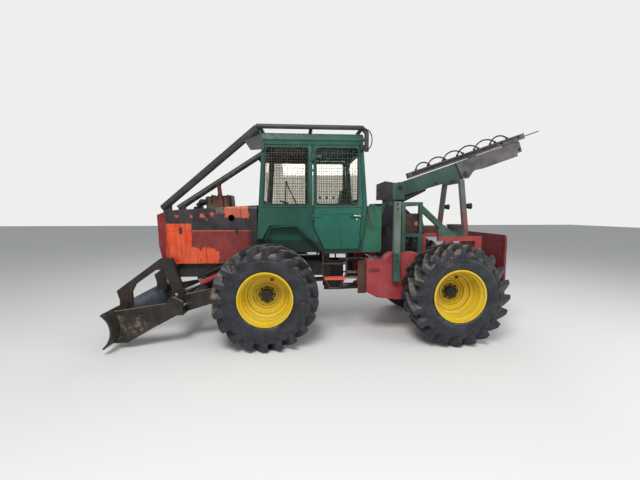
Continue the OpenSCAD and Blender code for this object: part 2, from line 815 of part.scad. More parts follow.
module blade_rods() {
    l = norm(rod_pin - barrel_pin);
    color([0.8, 0.8, 0.82]) placed() both() from_pin(barrel_pin, rod_pin) translate([0, 475, 0]) {
        rotate([0, 90, 0]) translate([0, 0, 270]) cylinder(h = l - 295, r = lift_rod_r, $fn = 48);
        translate([l, -20, 0]) rotate([-90, 15, 0]) cylinder(h = 40, r = 38, $fn = 48);
        translate([l, 12, 0]) rotate([-90, 30, 0]) cylinder(h = 103, r = lift_rod_r, $fn = 48);
    }
}

module rear_chassis() {
    top = rear_rail_z + rear_rail_h;
    color(red) placed() {
        both() translate([-3389, 200, rear_rail_z]) cube([1850, 100, rear_rail_h]);
        // Bulkhead and the tongues of the steering pivot
        translate([-1570, -201, 560]) cube([40, 402, 540]);
        both() translate([-1700, 180, 560]) cube([170, 21, 540]);
        // Lugs that hold the rods of the steering rams
        both() {
            translate([-1570, 190, steer_z - 52]) cube([40, 80, 104]);
            for (z = [steer_z - 52, steer_z + 28])
                translate([0, 0, z]) linear_extrude(24) union() {
                    polygon([[-1560, 160], [-1560, 270], [-1440, 262], [-1440, 178]]);
                    translate(steer_rod_pin) circle(42, $fn = 48);
                }
            for (z = [steer_z - 60, steer_z + 51])
                translate([steer_rod_pin[0], steer_rod_pin[1], z]) cylinder(h = 9, r = 22, $fn = 32);
        }
        for (z = [646, 974])
            translate([0, 0, z]) linear_extrude(40) union() {
                polygon([[-1540, -150], [-1540, 150], [pivot_x, 100], [pivot_x, -100]]);
                translate([pivot_x, 0]) circle(100, $fn = 64);
            }
        for (z = [[592, 60], [1008, 60]])
            translate([pivot_x, 0, z[0]]) cylinder(h = z[1], r = pivot_r, $fn = 64);
        // Cross members and deck
        for (x = [-2100, -2900, -3389])
            translate([x, -201, rear_rail_z + 20]) cube([60, 402, 120]);
        translate([-2320, seat_gap - 350, top - 1]) cube([700, 700 - 2 * seat_gap, 21]);
        translate([-2320, -460, top - 1]) cube([189, 920, 21]);
        both() translate([rear_x - 110, 200, wheel_r + axle_r + seat_gap])
            cube([220, 100, rear_rail_z - wheel_r - axle_r]);
        // Upper side beams on their uprights
        both() {
            translate([-3150, 400, side_beam_z - 70]) cube([661, 60, 70]);
            for (post = [[-2650, 60], [-3150, 100]])
                translate([post[0], 201, top - 40]) cube([post[1], 200, 40]);
            for (post = [[-2650, 60], [-3150, 100]])
                translate([post[0], 400, top - 40]) cube([post[1], 60, side_beam_z - 69 - top + 40]);
        }
        // Crane pedestal
        translate([column_x - 150, -150, top + 19]) cube([300, 300, 361]);
        translate([column_x, 0, 1430]) cylinder(h = 90, r = 140, $fn = 64);
        // Drawbar under the tail
        difference() {
            translate([-3520, -60, 700]) cube([260, 120, 40]);
            translate([-3470, 0, 690]) cylinder(h = 60, r = 20, $fn = 48);
        }
        translate([-3389, -60, 739]) cube([129, 120, rear_rail_z - 719]);
        translate([-3389, -201, rear_rail_z]) cube([129, 402, 21]);
    }
}

module side_boxes() {
    color(red) placed() both() across(350, box_y - 350) polygon([
        [-1390, 660], [-1390, 1120], [-1640, 1120], [-1760, 1215], [-2130, 1215], [-2130, 560],
        [-1830, 545], [-1540, 580]
    ]);
}

module tail_plate() {
    color(red) placed() {
        along(-3419, 29.7) difference() {
            round_rect(-tail_half_w, 450, tail_half_w, tail_top, 60);
            translate([-75, 690]) square([150, 60]);
        }
        for (y = [-320, 280])
            translate([-3390, y, 480]) cube([14, 40, 330]);
        for (y = [-560, 520])
            translate([-3390, y, 480]) cube([14, 40, 860]);
    }
}

module winch_tower() {
    deck = rear_rail_z + rear_rail_h + 20 + seat_gap;
    color(green) placed() both() {
        // Legs, window frame, brace and beam of one side
        across(400, 60) {
            difference() {
                translate([-2240, deck]) square([310, 1945 - deck]);
                translate([-2180, deck - 1]) square([190, 1440 - deck]);
                translate([-2135, deck - 1]) square([300, 1215 + seat_gap + 1 - deck]);
                translate([-2190, 1490]) square([205, 410]);
            }
            translate([-2240, 1895]) square([500, 50]);
            polygon([[-2235, 1900], [-2235, 1800], [-2600, 1466], [-2720, 1466]]);
            translate([rest_x + 70 + seat_gap, side_beam_z + seat_gap]) square([-2480 - rest_x - 70 - seat_gap, 120]);
        }
        // Arm and outer post beside the red box
        translate([-1840, 400, 1895]) cube([tower_arm, 300, 50]);
        translate([-1840, 632, 830]) cube([95, 68, 1115]);
        // Bearing plate of the winch
        across(360, 30) difference() {
            polygon([[-2300, 1466], [-2300, 1560], [-2240, 1780], [-1990, 1780], [-1990, 1466]]);
            translate([-2175, 1630]) circle(35.5, $fn = 64);
        }
        across(385, 20) polygon([[-2240, 1466], [-2240, 1489], [-1990, 1489], [-1990, 1466]]);
    }
    color(green) placed() translate([-2230, -400, 1895]) cube([60, 800, 40]);
    // Lugs from the outer posts to the red boxes
    color(green) placed() both() translate([-1830, box_y + seat_gap, 850]) cube([70, 40, 60]);
}

module boom_rest() {
    color([0.35, 0.38, 0.36]) placed() {
        both() along(rest_x, 70) polygon([
            [400, side_beam_z + seat_gap], [460, side_beam_z + seat_gap], [460, 1560], [300, 2290],
            [235, 2290], [400, 1560]
        ]);
        translate([rest_x + 5, -290, 2245]) cube([60, 580, 45]);
        across(-120, 240) polygon([
            [rest_x, 2285], [rest_x, 2309.8], [rest_x + 70, 2289.4], [rest_x + 70, 2285]
        ]);
        // Work lamps on the posts, shining backwards
        both() {
            translate([rest_x - 25, 340, 1875]) cube([26, 30, 30]);
            translate([rest_x - 80, 355, 1890]) rotate([0, 90, 0]) cylinder(h = 60, r1 = lamp_r, r2 = lamp_r - 12, $fn = 48);
        }
    }
}

module winch_drum() {
    color([0.45, 0.28, 0.24]) placed() translate([-2175, 0, 1630]) rotate([-90, 0, 0]) {
        translate([0, 0, -300]) cylinder(h = 600, r = drum_r, $fn = 64);
        for (z = [-315, -8, 299])
            translate([0, 0, z]) cylinder(h = 16, r = 108, $fn = 64);
        translate([0, 0, -396]) cylinder(h = 792, r = 35, $fn = 64);
    }
}

module crane_column() {
    lug_y0 = boom_y + 6;
    color(dark) placed() difference() {
        union() {
            translate([column_x, 0, 1520.5]) cylinder(h = 50, r = 130, $fn = 64);
            across(-column_y, 2 * column_y) polygon([
                [column_x - 85, 1560], [column_x + 85, 1560], [column_x + 125, 1760], [column_x + 78, 1950],
                [column_x + 78, 2000], [column_x - 78, 2000], [column_x - 78, 1950], [column_x - 125, 1760]
            ]);
            // Head with the clevis of the boom
            across(-column_y - 10, 2 * column_y + 20) polygon([
                [-1690, 1992], [-1690, 2245], [-1765, 2275], [-1890, 2255], [-1890, 1992]
            ]);
            both() across(lug_y0, column_y + 10 - lug_y0) union() {
                polygon([[-1891, 1992], [-1891, 2255], [-2000, 2250], [-2080, 2180], [-2080, 1992]]);
                translate([boom_pin_x, boom_pin_z]) circle(75, $fn = 64);
            }
            // Lugs of the crane cylinder
            both() across(51, lug_y0 - 50) polygon([
                [-1900, 1952], [-1900, 2040], [-2040, 2035], [-2095, 1985], [-2040, 1940], [-1942, 1940]
            ]);
            across_pin([boom_pin_x, boom_pin_z], -column_y - 9, 2 * column_y + 18, 25);
            across_pin(crane_barrel_pin, -lug_y0 + 1, 2 * lug_y0 - 2, 20);
        }
    }
}

module crane_boom() {
    y = boom_y;
    eye = local_rod_pin();
    color(green) placed() on_boom() difference() {
        union() {
            across(-y, 2 * y) union() {
                polygon([
                    [0, -85], [0, 74], [972, 74], [1010, 20], [1060, -95], [1060, -185],
                    [60, -137]
                ]);
                circle(88, $fn = 64);
                translate(jib_pin) circle(50, $fn = 64);
            }
            // Round lugs of the crane cylinder's rod
            both() across(51, y - 51) translate(eye) circle(41, $fn = 64);
        }
        across(-y - 1, 2 * y + 2) circle(25.5, $fn = 64);
        across(-y - 1, 2 * y + 2) translate(jib_pin) circle(25.5, $fn = 64);
        // Slot in the underside where the cylinder works when the boom is raised
        translate([-100, -51, -400]) cube([eye[0] + 160, 102, 350]);
        across(-y - 1, 2 * y + 2) translate(eye) circle(20 + pin_drift, $fn = 64);
    }
}

// The crane cylinder's rod pin in the boom's own side view
function local_rod_pin() = let (dx = boom_pin_x - crane_rod_pin[0], dz = crane_rod_pin[1] - boom_pin_z)
    [dx * cos(boom_angle) + dz * sin(boom_angle), dz * cos(boom_angle) - dx * sin(boom_angle)];

module crane_barrel() {
    color(dark) placed() from_pin(crane_barrel_pin, crane_rod_pin) difference() {
        union() {
            rotate([0, 90, 0]) translate([0, 0, 30]) cylinder(h = 400, r = crane_barrel_r, $fn = 48);
            rotate([-90, 0, 0]) translate([0, 0, -40]) cylinder(h = 80, r = 42, $fn = 48);
        }
        rotate([-90, 0, 0]) translate([0, 0, -50]) cylinder(h = 100, r = 20.4, $fn = 48);
        rotate([0, 90, 0]) translate([0, 0, 70]) cylinder(h = 400, r = crane_rod_r + 0.4, $fn = 48);
    }
}

module crane_rod() {
    l = norm(crane_rod_pin - crane_barrel_pin);
    color([0.8, 0.8, 0.82]) placed() from_pin(crane_barrel_pin, crane_rod_pin) {
        rotate([0, 90, 0]) translate([0, 0, 200]) cylinder(h = l - 200, r = crane_rod_r, $fn = 48);
        translate([l, -40, 0]) rotate([-90, 0, 0]) cylinder(h = 80, r = 40, $fn = 48);
        translate([l, -boom_y, 0]) rotate([-90, 0, 0]) cylinder(h = 2 * boom_y, r = 20, $fn = 48);
    }
}

module jib() {
    y = jib_y;
    color(steel) placed() on_boom() {
        // Head plates beside the boom's end
        both() across(boom_y + 6, 22)
            polygon([[963, 75], [1269, 80], [1269, -113], [1184, -144], [1090, -215], [997, -193]]);
        across_pin(jib_pin, -boom_y - 27, 2 * boom_y + 54, 25);
        // Hollow sleeve
        difference() {
            across(-y, 2 * y) polygon([[1200, -113], [1200, 80], [1970, 80], [1970, -142], [1385, -147]]);
            translate([1190, -y + jib_wall, -112 + jib_wall])
                cube([800, 2 * (y - jib_wall), 192 - 2 * jib_wall]);
        }
        // Guide pads under the sliding rail
        for (u = [1250, 1850])
            translate([u, -50, 79]) cube([90, 100, 8.7]);
    }
}

module jib_beam() {
    y = jib_y - jib_wall - jib_gap;
    z0 = -112 + jib_wall + jib_gap;
    z1 = 80 - jib_wall - jib_gap;
    color(steel) placed() on_boom() difference() {
        union() {
            translate([1230, -y, z0]) cube([835, 2 * y, z1 - z0]);
            translate([1990, -50, z1 - 1]) cube([75, 100, 90 - z1]);
            translate([200, -50, 88]) cube([1980, 100, 87]);
            translate([2170, 0, tip_rod_w]) rotate([0, 90, 0])
                cylinder(h = rod_tip_u - 2170, r = tip_rod_r, $fn = 24);
        }
        across_pin([2032, -50], -100, 200, tip_bore_r);
    }
}

// Hose arcs on the rail: middle along the rail, chord, rise and offset to the side
hose_arcs = [
    [470, 230, 70, 15], [720, 300, 76, -15], [985, 340, 84, 15], [1255, 360, 88, -15],
    [1530, 360, 88, 15], [1790, 290, 76, -15]
];

module beam_hoses() {
    color([0.05, 0.05, 0.05]) placed() on_boom() for (h = hose_arcs) {
        big_r = (h[1] * h[1] / 4 + h[2] * h[2]) / (2 * h[2]);
        half = acos((big_r - h[2]) / big_r);
        translate([h[0], h[3], 187 + h[2] - big_r]) rotate([90, 0, 0])
            rotate([0, 0, 90 - half]) rotate_extrude(angle = 2 * half, $fn = 64)
                translate([big_r, 0]) circle(hose_r, $fn = 16);
        for (s = [-1, 1])
            translate([h[0] + s * h[1] / 2 - 16, h[3] - 14, 175 + seat_gap]) cube([32, 28, 22]);
    }
}

// Places a steering ram's pieces: along +X from the front pin to the rear pin, on the left side
module from_steer_pin() {
    v = steer_rod_pin - steer_pin;
    translate([steer_pin[0], steer_pin[1], steer_z]) rotate([0, 0, atan2(v[1], v[0])]) children();
}

module steer_barrel() {
    color(dark) placed() from_steer_pin() difference() {
        union() {
            rotate([0, 90, 0]) translate([0, 0, 25]) cylinder(h = 455, r = 32, $fn = 48);
            translate([0, 0, -20]) cylinder(h = 40, r = 38, $fn = 48);
        }
        translate([0, 0, -50]) cylinder(h = 100, r = 20.4, $fn = 48);
        rotate([0, 90, 0]) translate([0, 0, 55]) cylinder(h = 500, r = 18.4, $fn = 48);
    }
}

module steer_rod() {
    l = norm(steer_rod_pin - steer_pin);
    color([0.8, 0.8, 0.82]) placed() from_steer_pin() {
        rotate([0, 90, 0]) translate([0, 0, 250]) cylinder(h = l - 270, r = 18, $fn = 48);
        translate([l, 0, -20]) cylinder(h = 40, r = 36, $fn = 48);
    }
}

module steer_barrel_left() {
    steer_barrel();
}

module steer_barrel_right() {
    mirror([0, 1, 0]) steer_barrel();
}

module steer_rod_left() {
    steer_rod();
}

module steer_rod_right() {
    mirror([0, 1, 0]) steer_rod();
}

module tyre_front_left() {
    color([0.06, 0.06, 0.07]) at_wheel(0, 1) tyre_shape();
}

module tyre_front_right() {
    color([0.06, 0.06, 0.07]) at_wheel(0, -1) tyre_shape();
}

module tyre_rear_left() {
    color([0.06, 0.06, 0.07]) at_wheel(rear_x, 1) tyre_shape();
}

module tyre_rear_right() {
    color([0.06, 0.06, 0.07]) at_wheel(rear_x, -1) tyre_shape();
}

module rim_front_left() {
    color(yellow) at_wheel(0, 1) rim_shape();
}

module rim_front_right() {
    color(yellow) at_wheel(0, -1) rim_shape();
}

module rim_rear_left() {
    color(yellow) at_wheel(rear_x, 1) rim_shape();
}

module rim_rear_right() {
    color(yellow) at_wheel(rear_x, -1) rim_shape();
}

front_chassis();
front_axle();
engine_block();
bonnet_top();
bonnet_sides();
bonnet_front();
engine_pipes();
cab_lower();
cab_frame();
cab_roof();
cab_glass();
window_guards();
seat();
cab_controls();
roof_guard();
steps();
side_tanks();
door_left();
door_right();
door_glass_left();
door_glass_right();
blade();
blade_arms();
blade_barrels();
blade_rods();
rear_chassis();
rear_axle();
side_boxes();
tail_plate();
winch_tower();
boom_rest();
winch_drum();
crane_column();
crane_boom();
crane_barrel();
crane_rod();
jib();
jib_beam();
beam_hoses();
steer_barrel_left();
steer_barrel_right();
steer_rod_left();
steer_rod_right();
tyre_front_left();
tyre_front_right();
tyre_rear_left();
tyre_rear_right();
rim_front_left();
rim_front_right();
rim_rear_left();
rim_rear_right();
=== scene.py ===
# %% [markdown]
# # A forestry skidder, dressed for its portrait
# This script adds what a designer would leave to the workshop: bolts, seals, hoses, tread, and
# above all the finishes of a machine that has worked in the woods for years. X points forward to
# the blade, Y to the machine's left and Z up.

# %% Load the frame
import functools
import math

import bmesh
import bpy
from mathutils import Matrix, Vector


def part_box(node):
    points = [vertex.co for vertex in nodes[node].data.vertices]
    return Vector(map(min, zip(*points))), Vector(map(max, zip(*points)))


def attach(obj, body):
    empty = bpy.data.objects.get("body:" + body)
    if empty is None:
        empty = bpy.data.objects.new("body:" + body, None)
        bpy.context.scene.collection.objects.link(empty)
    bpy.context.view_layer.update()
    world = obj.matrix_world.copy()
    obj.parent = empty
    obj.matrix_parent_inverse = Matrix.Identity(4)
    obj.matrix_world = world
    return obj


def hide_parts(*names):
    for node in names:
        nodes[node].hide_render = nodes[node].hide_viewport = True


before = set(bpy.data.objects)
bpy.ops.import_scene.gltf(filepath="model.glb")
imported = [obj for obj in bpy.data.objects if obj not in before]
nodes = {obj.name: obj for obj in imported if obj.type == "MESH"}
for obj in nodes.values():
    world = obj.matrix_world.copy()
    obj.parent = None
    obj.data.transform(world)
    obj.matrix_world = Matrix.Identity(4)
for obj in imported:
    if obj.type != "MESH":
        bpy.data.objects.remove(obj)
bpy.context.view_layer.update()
# Lengths along the machine are read from the front axle, as in the solid model
AXLE_X = sum(c[0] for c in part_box("rim_front_left")) / 2

# %% [markdown]
# ## The studio
# The machine was photographed from its left side with a wide lens, a little below roof height.
# The same distance and angle give the same foreshortening: the near wheels look larger than the
# crane, which stands nearer to the middle. The floor is plain and pale, and a pale world lights
# everything softly, so that the finishes show their own colours.

# %% Camera
CAMERA_HEIGHT = 1.791
CAMERA_SIDE = 5.016
CAMERA_ALONG = -0.423
CAMERA_YAW = 0.0685
CAMERA_PITCH = 0.0856
FOCAL_PIXELS = 318.6
PICTURE_WIDTH = 640
SENSOR_MM = 36

camera_data = bpy.data.cameras.new("portrait_camera")
camera_data.sensor_width = SENSOR_MM
camera_data.lens = FOCAL_PIXELS / PICTURE_WIDTH * SENSOR_MM
camera_data.clip_end = 200
camera = bpy.data.objects.new("portrait_camera", camera_data)
bpy.context.scene.collection.objects.link(camera)
look = Vector((
    -math.sin(CAMERA_YAW) * math.cos(CAMERA_PITCH),
    -math.cos(CAMERA_YAW) * math.cos(CAMERA_PITCH),
    -math.sin(CAMERA_PITCH),
))
camera.location = (AXLE_X + CAMERA_ALONG, CAMERA_SIDE, CAMERA_HEIGHT)
camera.rotation_mode = "QUATERNION"
camera.rotation_quaternion = look.to_track_quat("-Z", "Y")
bpy.context.scene.camera = camera

# %% [markdown]
# ## Hoses and a rope
# Short rubber hoses arch from clamp to clamp along the crane's sliding rail, one loops round the rear
# corner of the roof guard, and a coil of wire rope lies on the side beam. Each is a curve with its real
# thickness, in one smooth line from where it leaves the machine, so that its length can be measured.

# %% Places on the machine and on its boom
BOOM_PIN = (-2010, 2180)
BOOM_ANGLE = math.radians(19)
WHEELBASE = 2.549
WHEEL_R = 0.690
WHEEL_Y = 0.855


def at(x, y, z):
    """A place in the solid model's own millimetres from the front axle, as metres in the scene."""
    return Vector((AXLE_X + x / 1000, y / 1000, z / 1000))


def on_boom(u, y, v):
    """A place in the boom's own side view, u along the boom and v square to it, in mm."""
    x = BOOM_PIN[0] - u * math.cos(BOOM_ANGLE) + v * math.sin(BOOM_ANGLE)
    z = BOOM_PIN[1] + u * math.sin(BOOM_ANGLE) + v * math.cos(BOOM_ANGLE)
    return at(x, y, z)


def round_curve(name, places, radius, closed=False, fine=4):
    """A round section along straight steps from place to place, all in metres."""
    data = bpy.data.curves.new(name, "CURVE")
    data.dimensions = "3D"
    data.bevel_depth = radius
    data.bevel_resolution = fine
    data.use_fill_caps = not closed
    line = data.splines.new("POLY")
    line.points.add(len(places) - 1)
    for point, place in zip(line.points, places):
        point.co = (*place, 1)
    line.use_cyclic_u = closed
    made = bpy.data.objects.new(name, data)
    bpy.context.scene.collection.objects.link(made)
    return made


def hose(name, places, diameter):
    """A hose or rope. Returns its object, its first point and its length."""
    length = sum((b - a).length for a, b in zip(places, places[1:]))
    print(name, "length", round(length, 3), "m")
    return round_curve(name, places, diameter / 2), places[0], length


def smooth_way(knots, per_span=8):
    """A smooth line through a few knots, by the Catmull-Rom rule."""
    ends = [knots[0] * 2 - knots[1], *knots, knots[-1] * 2 - knots[-2]]
    line = []
    for a, b, c, d in zip(ends, ends[1:], ends[2:], ends[3:]):
        for k in range(per_span):
            t = k / per_span
            line.append(0.5 * ((2 * b) + (c - a) * t + (2 * a - 5 * b + 4 * c - d) * t ** 2
                               + (3 * b - a - 3 * c + d) * t ** 3))
    return line + [knots[-1]]


# %% Six hoses on the sliding rail
HOSE_D = 0.022
HOSE_FOOT = 187
HOSE_STEPS = 28
HOSE_ARCS = [
    # middle along the rail, chord, rise, offset to the side, in mm as in the solid model
    (470, 230, 70, 15), (720, 300, 76, -15), (985, 340, 84, 15), (1255, 360, 88, -15), (1530, 360, 88, 15),
    (1790, 290, 76, -15),
]
rail_hoses = []
for number, (middle, chord, rise, offset) in enumerate(HOSE_ARCS, 1):
    arc_r = (chord ** 2 / 4 + rise ** 2) / (2 * rise)
    half = math.acos((arc_r - rise) / arc_r)
    way = []
    for k in range(HOSE_STEPS + 1):
        turn = half * (2 * k / HOSE_STEPS - 1)
        way.append(on_boom(middle + arc_r * math.sin(turn), offset,
                           HOSE_FOOT + rise - arc_r + arc_r * math.cos(turn)))
    rail_hoses.append(hose(f"rail_hose_{number}", way, HOSE_D))

# %% Hose at the guard's corner and rope on the beam
GUARD_HOSE_D = 0.014
guard_hose = hose("guard_hose", smooth_way([at(*v) for v in (
    (-1262, 779, 2890), (-1310, 781, 2886), (-1368, 783, 2850), (-1396, 783, 2790), (-1398, 783, 2720),
    (-1380, 782, 2655), (-1340, 779, 2612))]), GUARD_HOSE_D)
ROPE_D = 0.014
ROPE_PITCH = 14.8
ROPE_MIDDLE = (-2752, 430)
ROPE_FOOT = 1567.6
OUTER_TURN = 118
LAYER_TURNS = 2
LAYERS = 4
TURN_STEPS = 28
rope_way = []
for k in range(LAYERS * LAYER_TURNS * TURN_STEPS + 1):
    turn = k / TURN_STEPS
    layer = min(int(turn / LAYER_TURNS), LAYERS - 1)
    part_way = turn - layer * LAYER_TURNS
    inward = part_way if layer % 2 == 0 else LAYER_TURNS - part_way
    level = layer - 1 + min(1.0, part_way * 6) if layer else 0
    angle = 2 * math.pi * turn
    coil_r = OUTER_TURN - inward * ROPE_PITCH
    rope_way.append(at(ROPE_MIDDLE[0] + coil_r * math.cos(angle), ROPE_MIDDLE[1] + coil_r * math.sin(angle),
                       ROPE_FOOT + level * ROPE_PITCH))
beam_rope = hose("beam_rope", rope_way, ROPE_D)

# %% [markdown]
# ## Nodes, lights and floor
# World and finishes are made of shader nodes. A small class keeps one node tree and makes each kind of
# node in one short call. Three soft lamps and a pale world stand for the workshop's daylight: the
# camera sees the world brighter than it lights.

# %% Node trees in short
class Net:
    """A node tree, with a short call for each kind of node that is used here."""

    def __init__(self, tree):
        self.tree = tree

    def add(self, kind, **settings):
        made = self.tree.nodes.new("ShaderNode" + kind)
        for key, value in settings.items():
            setattr(made, key, value)
        return made

    def put(self, node, values):
        """Fills inputs of a node: another node's output is linked, a number or colour is set."""
        for label, value in values.items():
            socket = node.inputs[label]
            if isinstance(value, bpy.types.NodeSocket):
                self.tree.links.new(value, socket)
            else:
                socket.default_value = (*value, 1) if socket.type == "RGBA" else value
        return node

    def group(self, tree, values):
        """A group as one node. Returns its outputs."""
        return self.put(self.add("Group", node_tree=tree), values).outputs

    def math(self, operation, *values):
        return self.put(self.add("Math", operation=operation), dict(enumerate(values))).outputs[0]

    def joined(self, operation, values):
        """One value out of many, two at a time."""
        return functools.reduce(lambda a, b: self.math(operation, a, b), values)

    def ramp(self, value, low, high):
        """A soft step from 0 at low to 1 at high."""
        made = self.add("MapRange", interpolation_type="SMOOTHSTEP")
        return self.put(made, {"Value": value, "From Min": low, "From Max": high}).outputs["Result"]

    def blend(self, mask, a, b):
        return self.put(self.add("Mix", data_type="RGBA"), {0: mask, 6: a, 7: b}).outputs[2]

    def xyz(self, vector):
        return self.put(self.add("SeparateXYZ"), {0: vector}).outputs

    def place(self):
        return self.add("TexCoord").outputs["Object"]

    def noise(self, scale, detail=4.0, rough=0.55, stretch=(1, 1, 1), shift=0.0):
        turn = self.put(self.add("Mapping"), {
            "Vector": self.place(), "Scale": stretch, "Location": (shift, shift * 1.7, shift * 0.6)})
        return self.put(self.add("TexNoise"), {
            "Vector": turn.outputs["Vector"], "Scale": scale, "Detail": detail,
            "Roughness": rough}).outputs["Fac"]

    def region(self, x=None, y=None, z=None, ragged=0.03, soft=0.006, scale=9.0):
        """A mask that is one inside limits along the axes, x from the front axle, with a ragged border."""
        spot = self.xyz(self.place())
        shake = self.math("SUBTRACT", self.noise(scale, 7, 0.65, shift=2), 0.5)
        shake = self.math("MULTIPLY", shake, ragged * 4)
        sides = []
        for axis, limits, zero in zip("XYZ", (x, y, z), (AXLE_X, 0, 0)):
            if limits is None:
                continue
            moved = self.math("ADD", spot[axis], shake)
            for limit, way in zip(limits, (1, -1)):
                if limit is not None:
                    sides.append(self.ramp(moved, zero + limit - way * soft, zero + limit + way * soft))
        return self.joined("MULTIPLY", sides)


def new_material(name):
    """A new material, its net and its shader node."""
    made = bpy.data.materials.new(name)
    made.use_nodes = True
    return made, Net(made.node_tree), made.node_tree.nodes["Principled BSDF"]


# %% Lights and world
def area_light(name, place, target, size, power):
    data = bpy.data.lights.new(name, "AREA")
    data.size = size
    data.energy = power
    light = bpy.data.objects.new(name, data)
    bpy.context.scene.collection.objects.link(light)
    light.location = place
    light.rotation_mode = "QUATERNION"
    light.rotation_quaternion = (Vector(target) - Vector(place)).to_track_quat("-Z", "Y")


area_light("key_light", (2.0, 6.0, 7.5), (0, 0, 1.2), 3, 620)
area_light("fill_light", (-6.5, 4.5, 3.5), (-1, 0, 1.2), 4, 190)
area_light("back_light", (-1, -7, 5.5), (0, 0, 1.4), 5, 200)

world = bpy.data.worlds.new("pale_studio")
bpy.context.scene.world = world
world.use_nodes = True
world.node_tree.nodes.clear()
net = Net(world.node_tree)
lit = net.put(net.add("Background"), {"Color": (0.93, 0.96, 1.0), "Strength": 0.42})
seen = net.put(net.add("Background"), {"Color": (0.86, 0.86, 0.85), "Strength": 1.0})
rays = net.add("LightPath").outputs
direct = net.math("MAXIMUM", rays["Is Camera Ray"], rays["Is Transmission Ray"])
mix = net.put(net.add("MixShader"), {0: direct, 1: lit.outputs[0], 2: seen.outputs[0]})
net.put(net.add("OutputWorld"), {"Surface": mix.outputs[0]})
bpy.context.scene.view_settings.view_transform = "Standard"

# %% Floor
for o in list(bpy.context.selected_objects):
    o.select_set(False)
bpy.ops.mesh.primitive_plane_add(size=80, location=(0, 0, 0))
floor = bpy.context.object
floor.name = "studio_floor"
floor_mat, net, shader = new_material("studio_floor")
net.put(shader, {"Base Color": (0.74, 0.74, 0.72), "Roughness": 0.9})
floor.data.materials.append(floor_mat)

# %% [markdown]
# ## Finishes
# A painted machine is never one colour. The sun fades the coat in broad patches, stones chip it
# along the edges down to primer and rust, rain draws streaks, and mud dries in the low and flat
# places. Each of these is one small group of shader nodes with named inputs, built once. A
# material then puts the groups in a row, as a painter lays one coat over another.

# %% Group: edges where the coat has worn through
def new_group(name, inputs, outputs):
    """A group with named inputs and their defaults. Returns its net, what it is given and what it gives."""
    tree = bpy.data.node_groups.new(name, "ShaderNodeTree")
    for label, default in inputs.items():
        colour = isinstance(default, tuple)
        socket = tree.interface.new_socket(label, in_out="INPUT", socket_type=SOCKETS[colour])
        socket.default_value = (*default, 1) if colour else default
    for label in outputs:
        tree.interface.new_socket(label, in_out="OUTPUT", socket_type=SOCKETS[label == "Color"])
    return Net(tree), tree.nodes.new("NodeGroupInput").outputs, tree.nodes.new("NodeGroupOutput")


SOCKETS = ("NodeSocketFloat", "NodeSocketColor")
RUST = (0.13, 0.05, 0.025)
PRIMER = (0.028, 0.022, 0.022)
MUD = (0.16, 0.115, 0.075)
net, given, gives = new_group("worn_edges", {"Width": 0.006}, ["Edge"])
rounded = net.put(net.add("Bevel", samples=4), {"Radius": given["Width"]})
facing = net.put(net.add("VectorMath", operation="DOT_PRODUCT"), {
    0: rounded.outputs["Normal"], 1: net.add("NewGeometry").outputs["Normal"]})
net.put(gives, {"Edge": net.ramp(facing.outputs["Value"], 0.995, 0.90)})
edge_group = net.tree

# %% Group: a sun-faded, chipped coat of paint
net, given, gives = new_group(
    "weathered_coat", {"Paint": (0.3, 0.05, 0.04), "Faded": (0.4, 0.2, 0.15), "Under": (0.1, 0.05, 0.03),
                       "Patch Scale": 3.0, "Chips": 0.4, "Streaks": 0.3}, ["Color", "Roughness", "Height"])
patches = net.ramp(net.noise(given["Patch Scale"], 6), 0.36, 0.68)
mottled = net.ramp(net.noise(23, 5, 0.7, shift=3), 0.35, 0.75)
# Patches of the faded colour; on the tyre that colour is bluish, a painted sky sheen
fade_and_sheen_mask = net.math("MULTIPLY_ADD", mottled, 0.35, net.math("MULTIPLY", patches, 0.75))
colour = net.blend(fade_and_sheen_mask, given["Paint"], given["Faded"])
chip_noise = net.noise(38, 9, 0.72, shift=7)
edge = net.group(edge_group, {"Width": 0.007})["Edge"]
chip_level = net.math("SUBTRACT", 0.86, net.math("MULTIPLY", given["Chips"], 0.3))
chips = net.ramp(net.math("MULTIPLY_ADD", edge, 0.2, chip_noise), chip_level,
                 net.math("ADD", chip_level, 0.035))
streak_noise = net.noise(1.0, 5, 0.6, stretch=(26, 26, 1.6), shift=1)
streaks = net.math("MULTIPLY", net.ramp(streak_noise, 0.5, 0.8), given["Streaks"])
colour = net.blend(streaks, colour, given["Under"])
net.put(gives, {
    "Color": net.blend(chips, colour, given["Under"]),
    "Roughness": net.math("MULTIPLY_ADD", chips, 0.3, net.math("MULTIPLY_ADD", mottled, 0.22, 0.4)),
    "Height": net.math("SUBTRACT", net.math("MULTIPLY", chip_noise, 0.25), chips)})
coat_group = net.tree

# %% Group: dried mud and dust
net, given, gives = new_group(
    "mud_and_dust", {"Color": (0.2, 0.2, 0.2), "Roughness": 0.5, "Height": 0.0, "Mud": MUD, "Amount": 0.4,
                     "Low": 0.3, "High": 1.6, "Settled": 0.5}, ["Color", "Roughness", "Height"])
low_down = net.ramp(net.xyz(net.place())["Z"], given["High"], given["Low"])
upright = net.ramp(net.xyz(net.add("NewGeometry").outputs["Normal"])["Z"], 0.3, 0.9)
lying = net.math("MULTIPLY", upright, given["Settled"])
mud_sum = net.math("MULTIPLY_ADD", low_down, given["Amount"], lying)
lumps = net.noise(7, 9, 0.68, shift=11)
fine = net.noise(60, 6, 0.7, shift=5)
mud_noise = net.math("MULTIPLY_ADD", fine, 0.35, net.math("MULTIPLY", lumps, 0.65))
mud_level = net.math("SUBTRACT", 0.92, net.math("MULTIPLY", mud_sum, 0.62))
mud_mask = net.ramp(mud_noise, mud_level, net.math("ADD", mud_level, 0.12))
mud_shade = net.blend(fine, given["Mud"], (0.30, 0.235, 0.17))
mud_rough = net.put(net.add("Mix", data_type="FLOAT"), {0: mud_mask, 2: given["Roughness"], 3: 0.93})
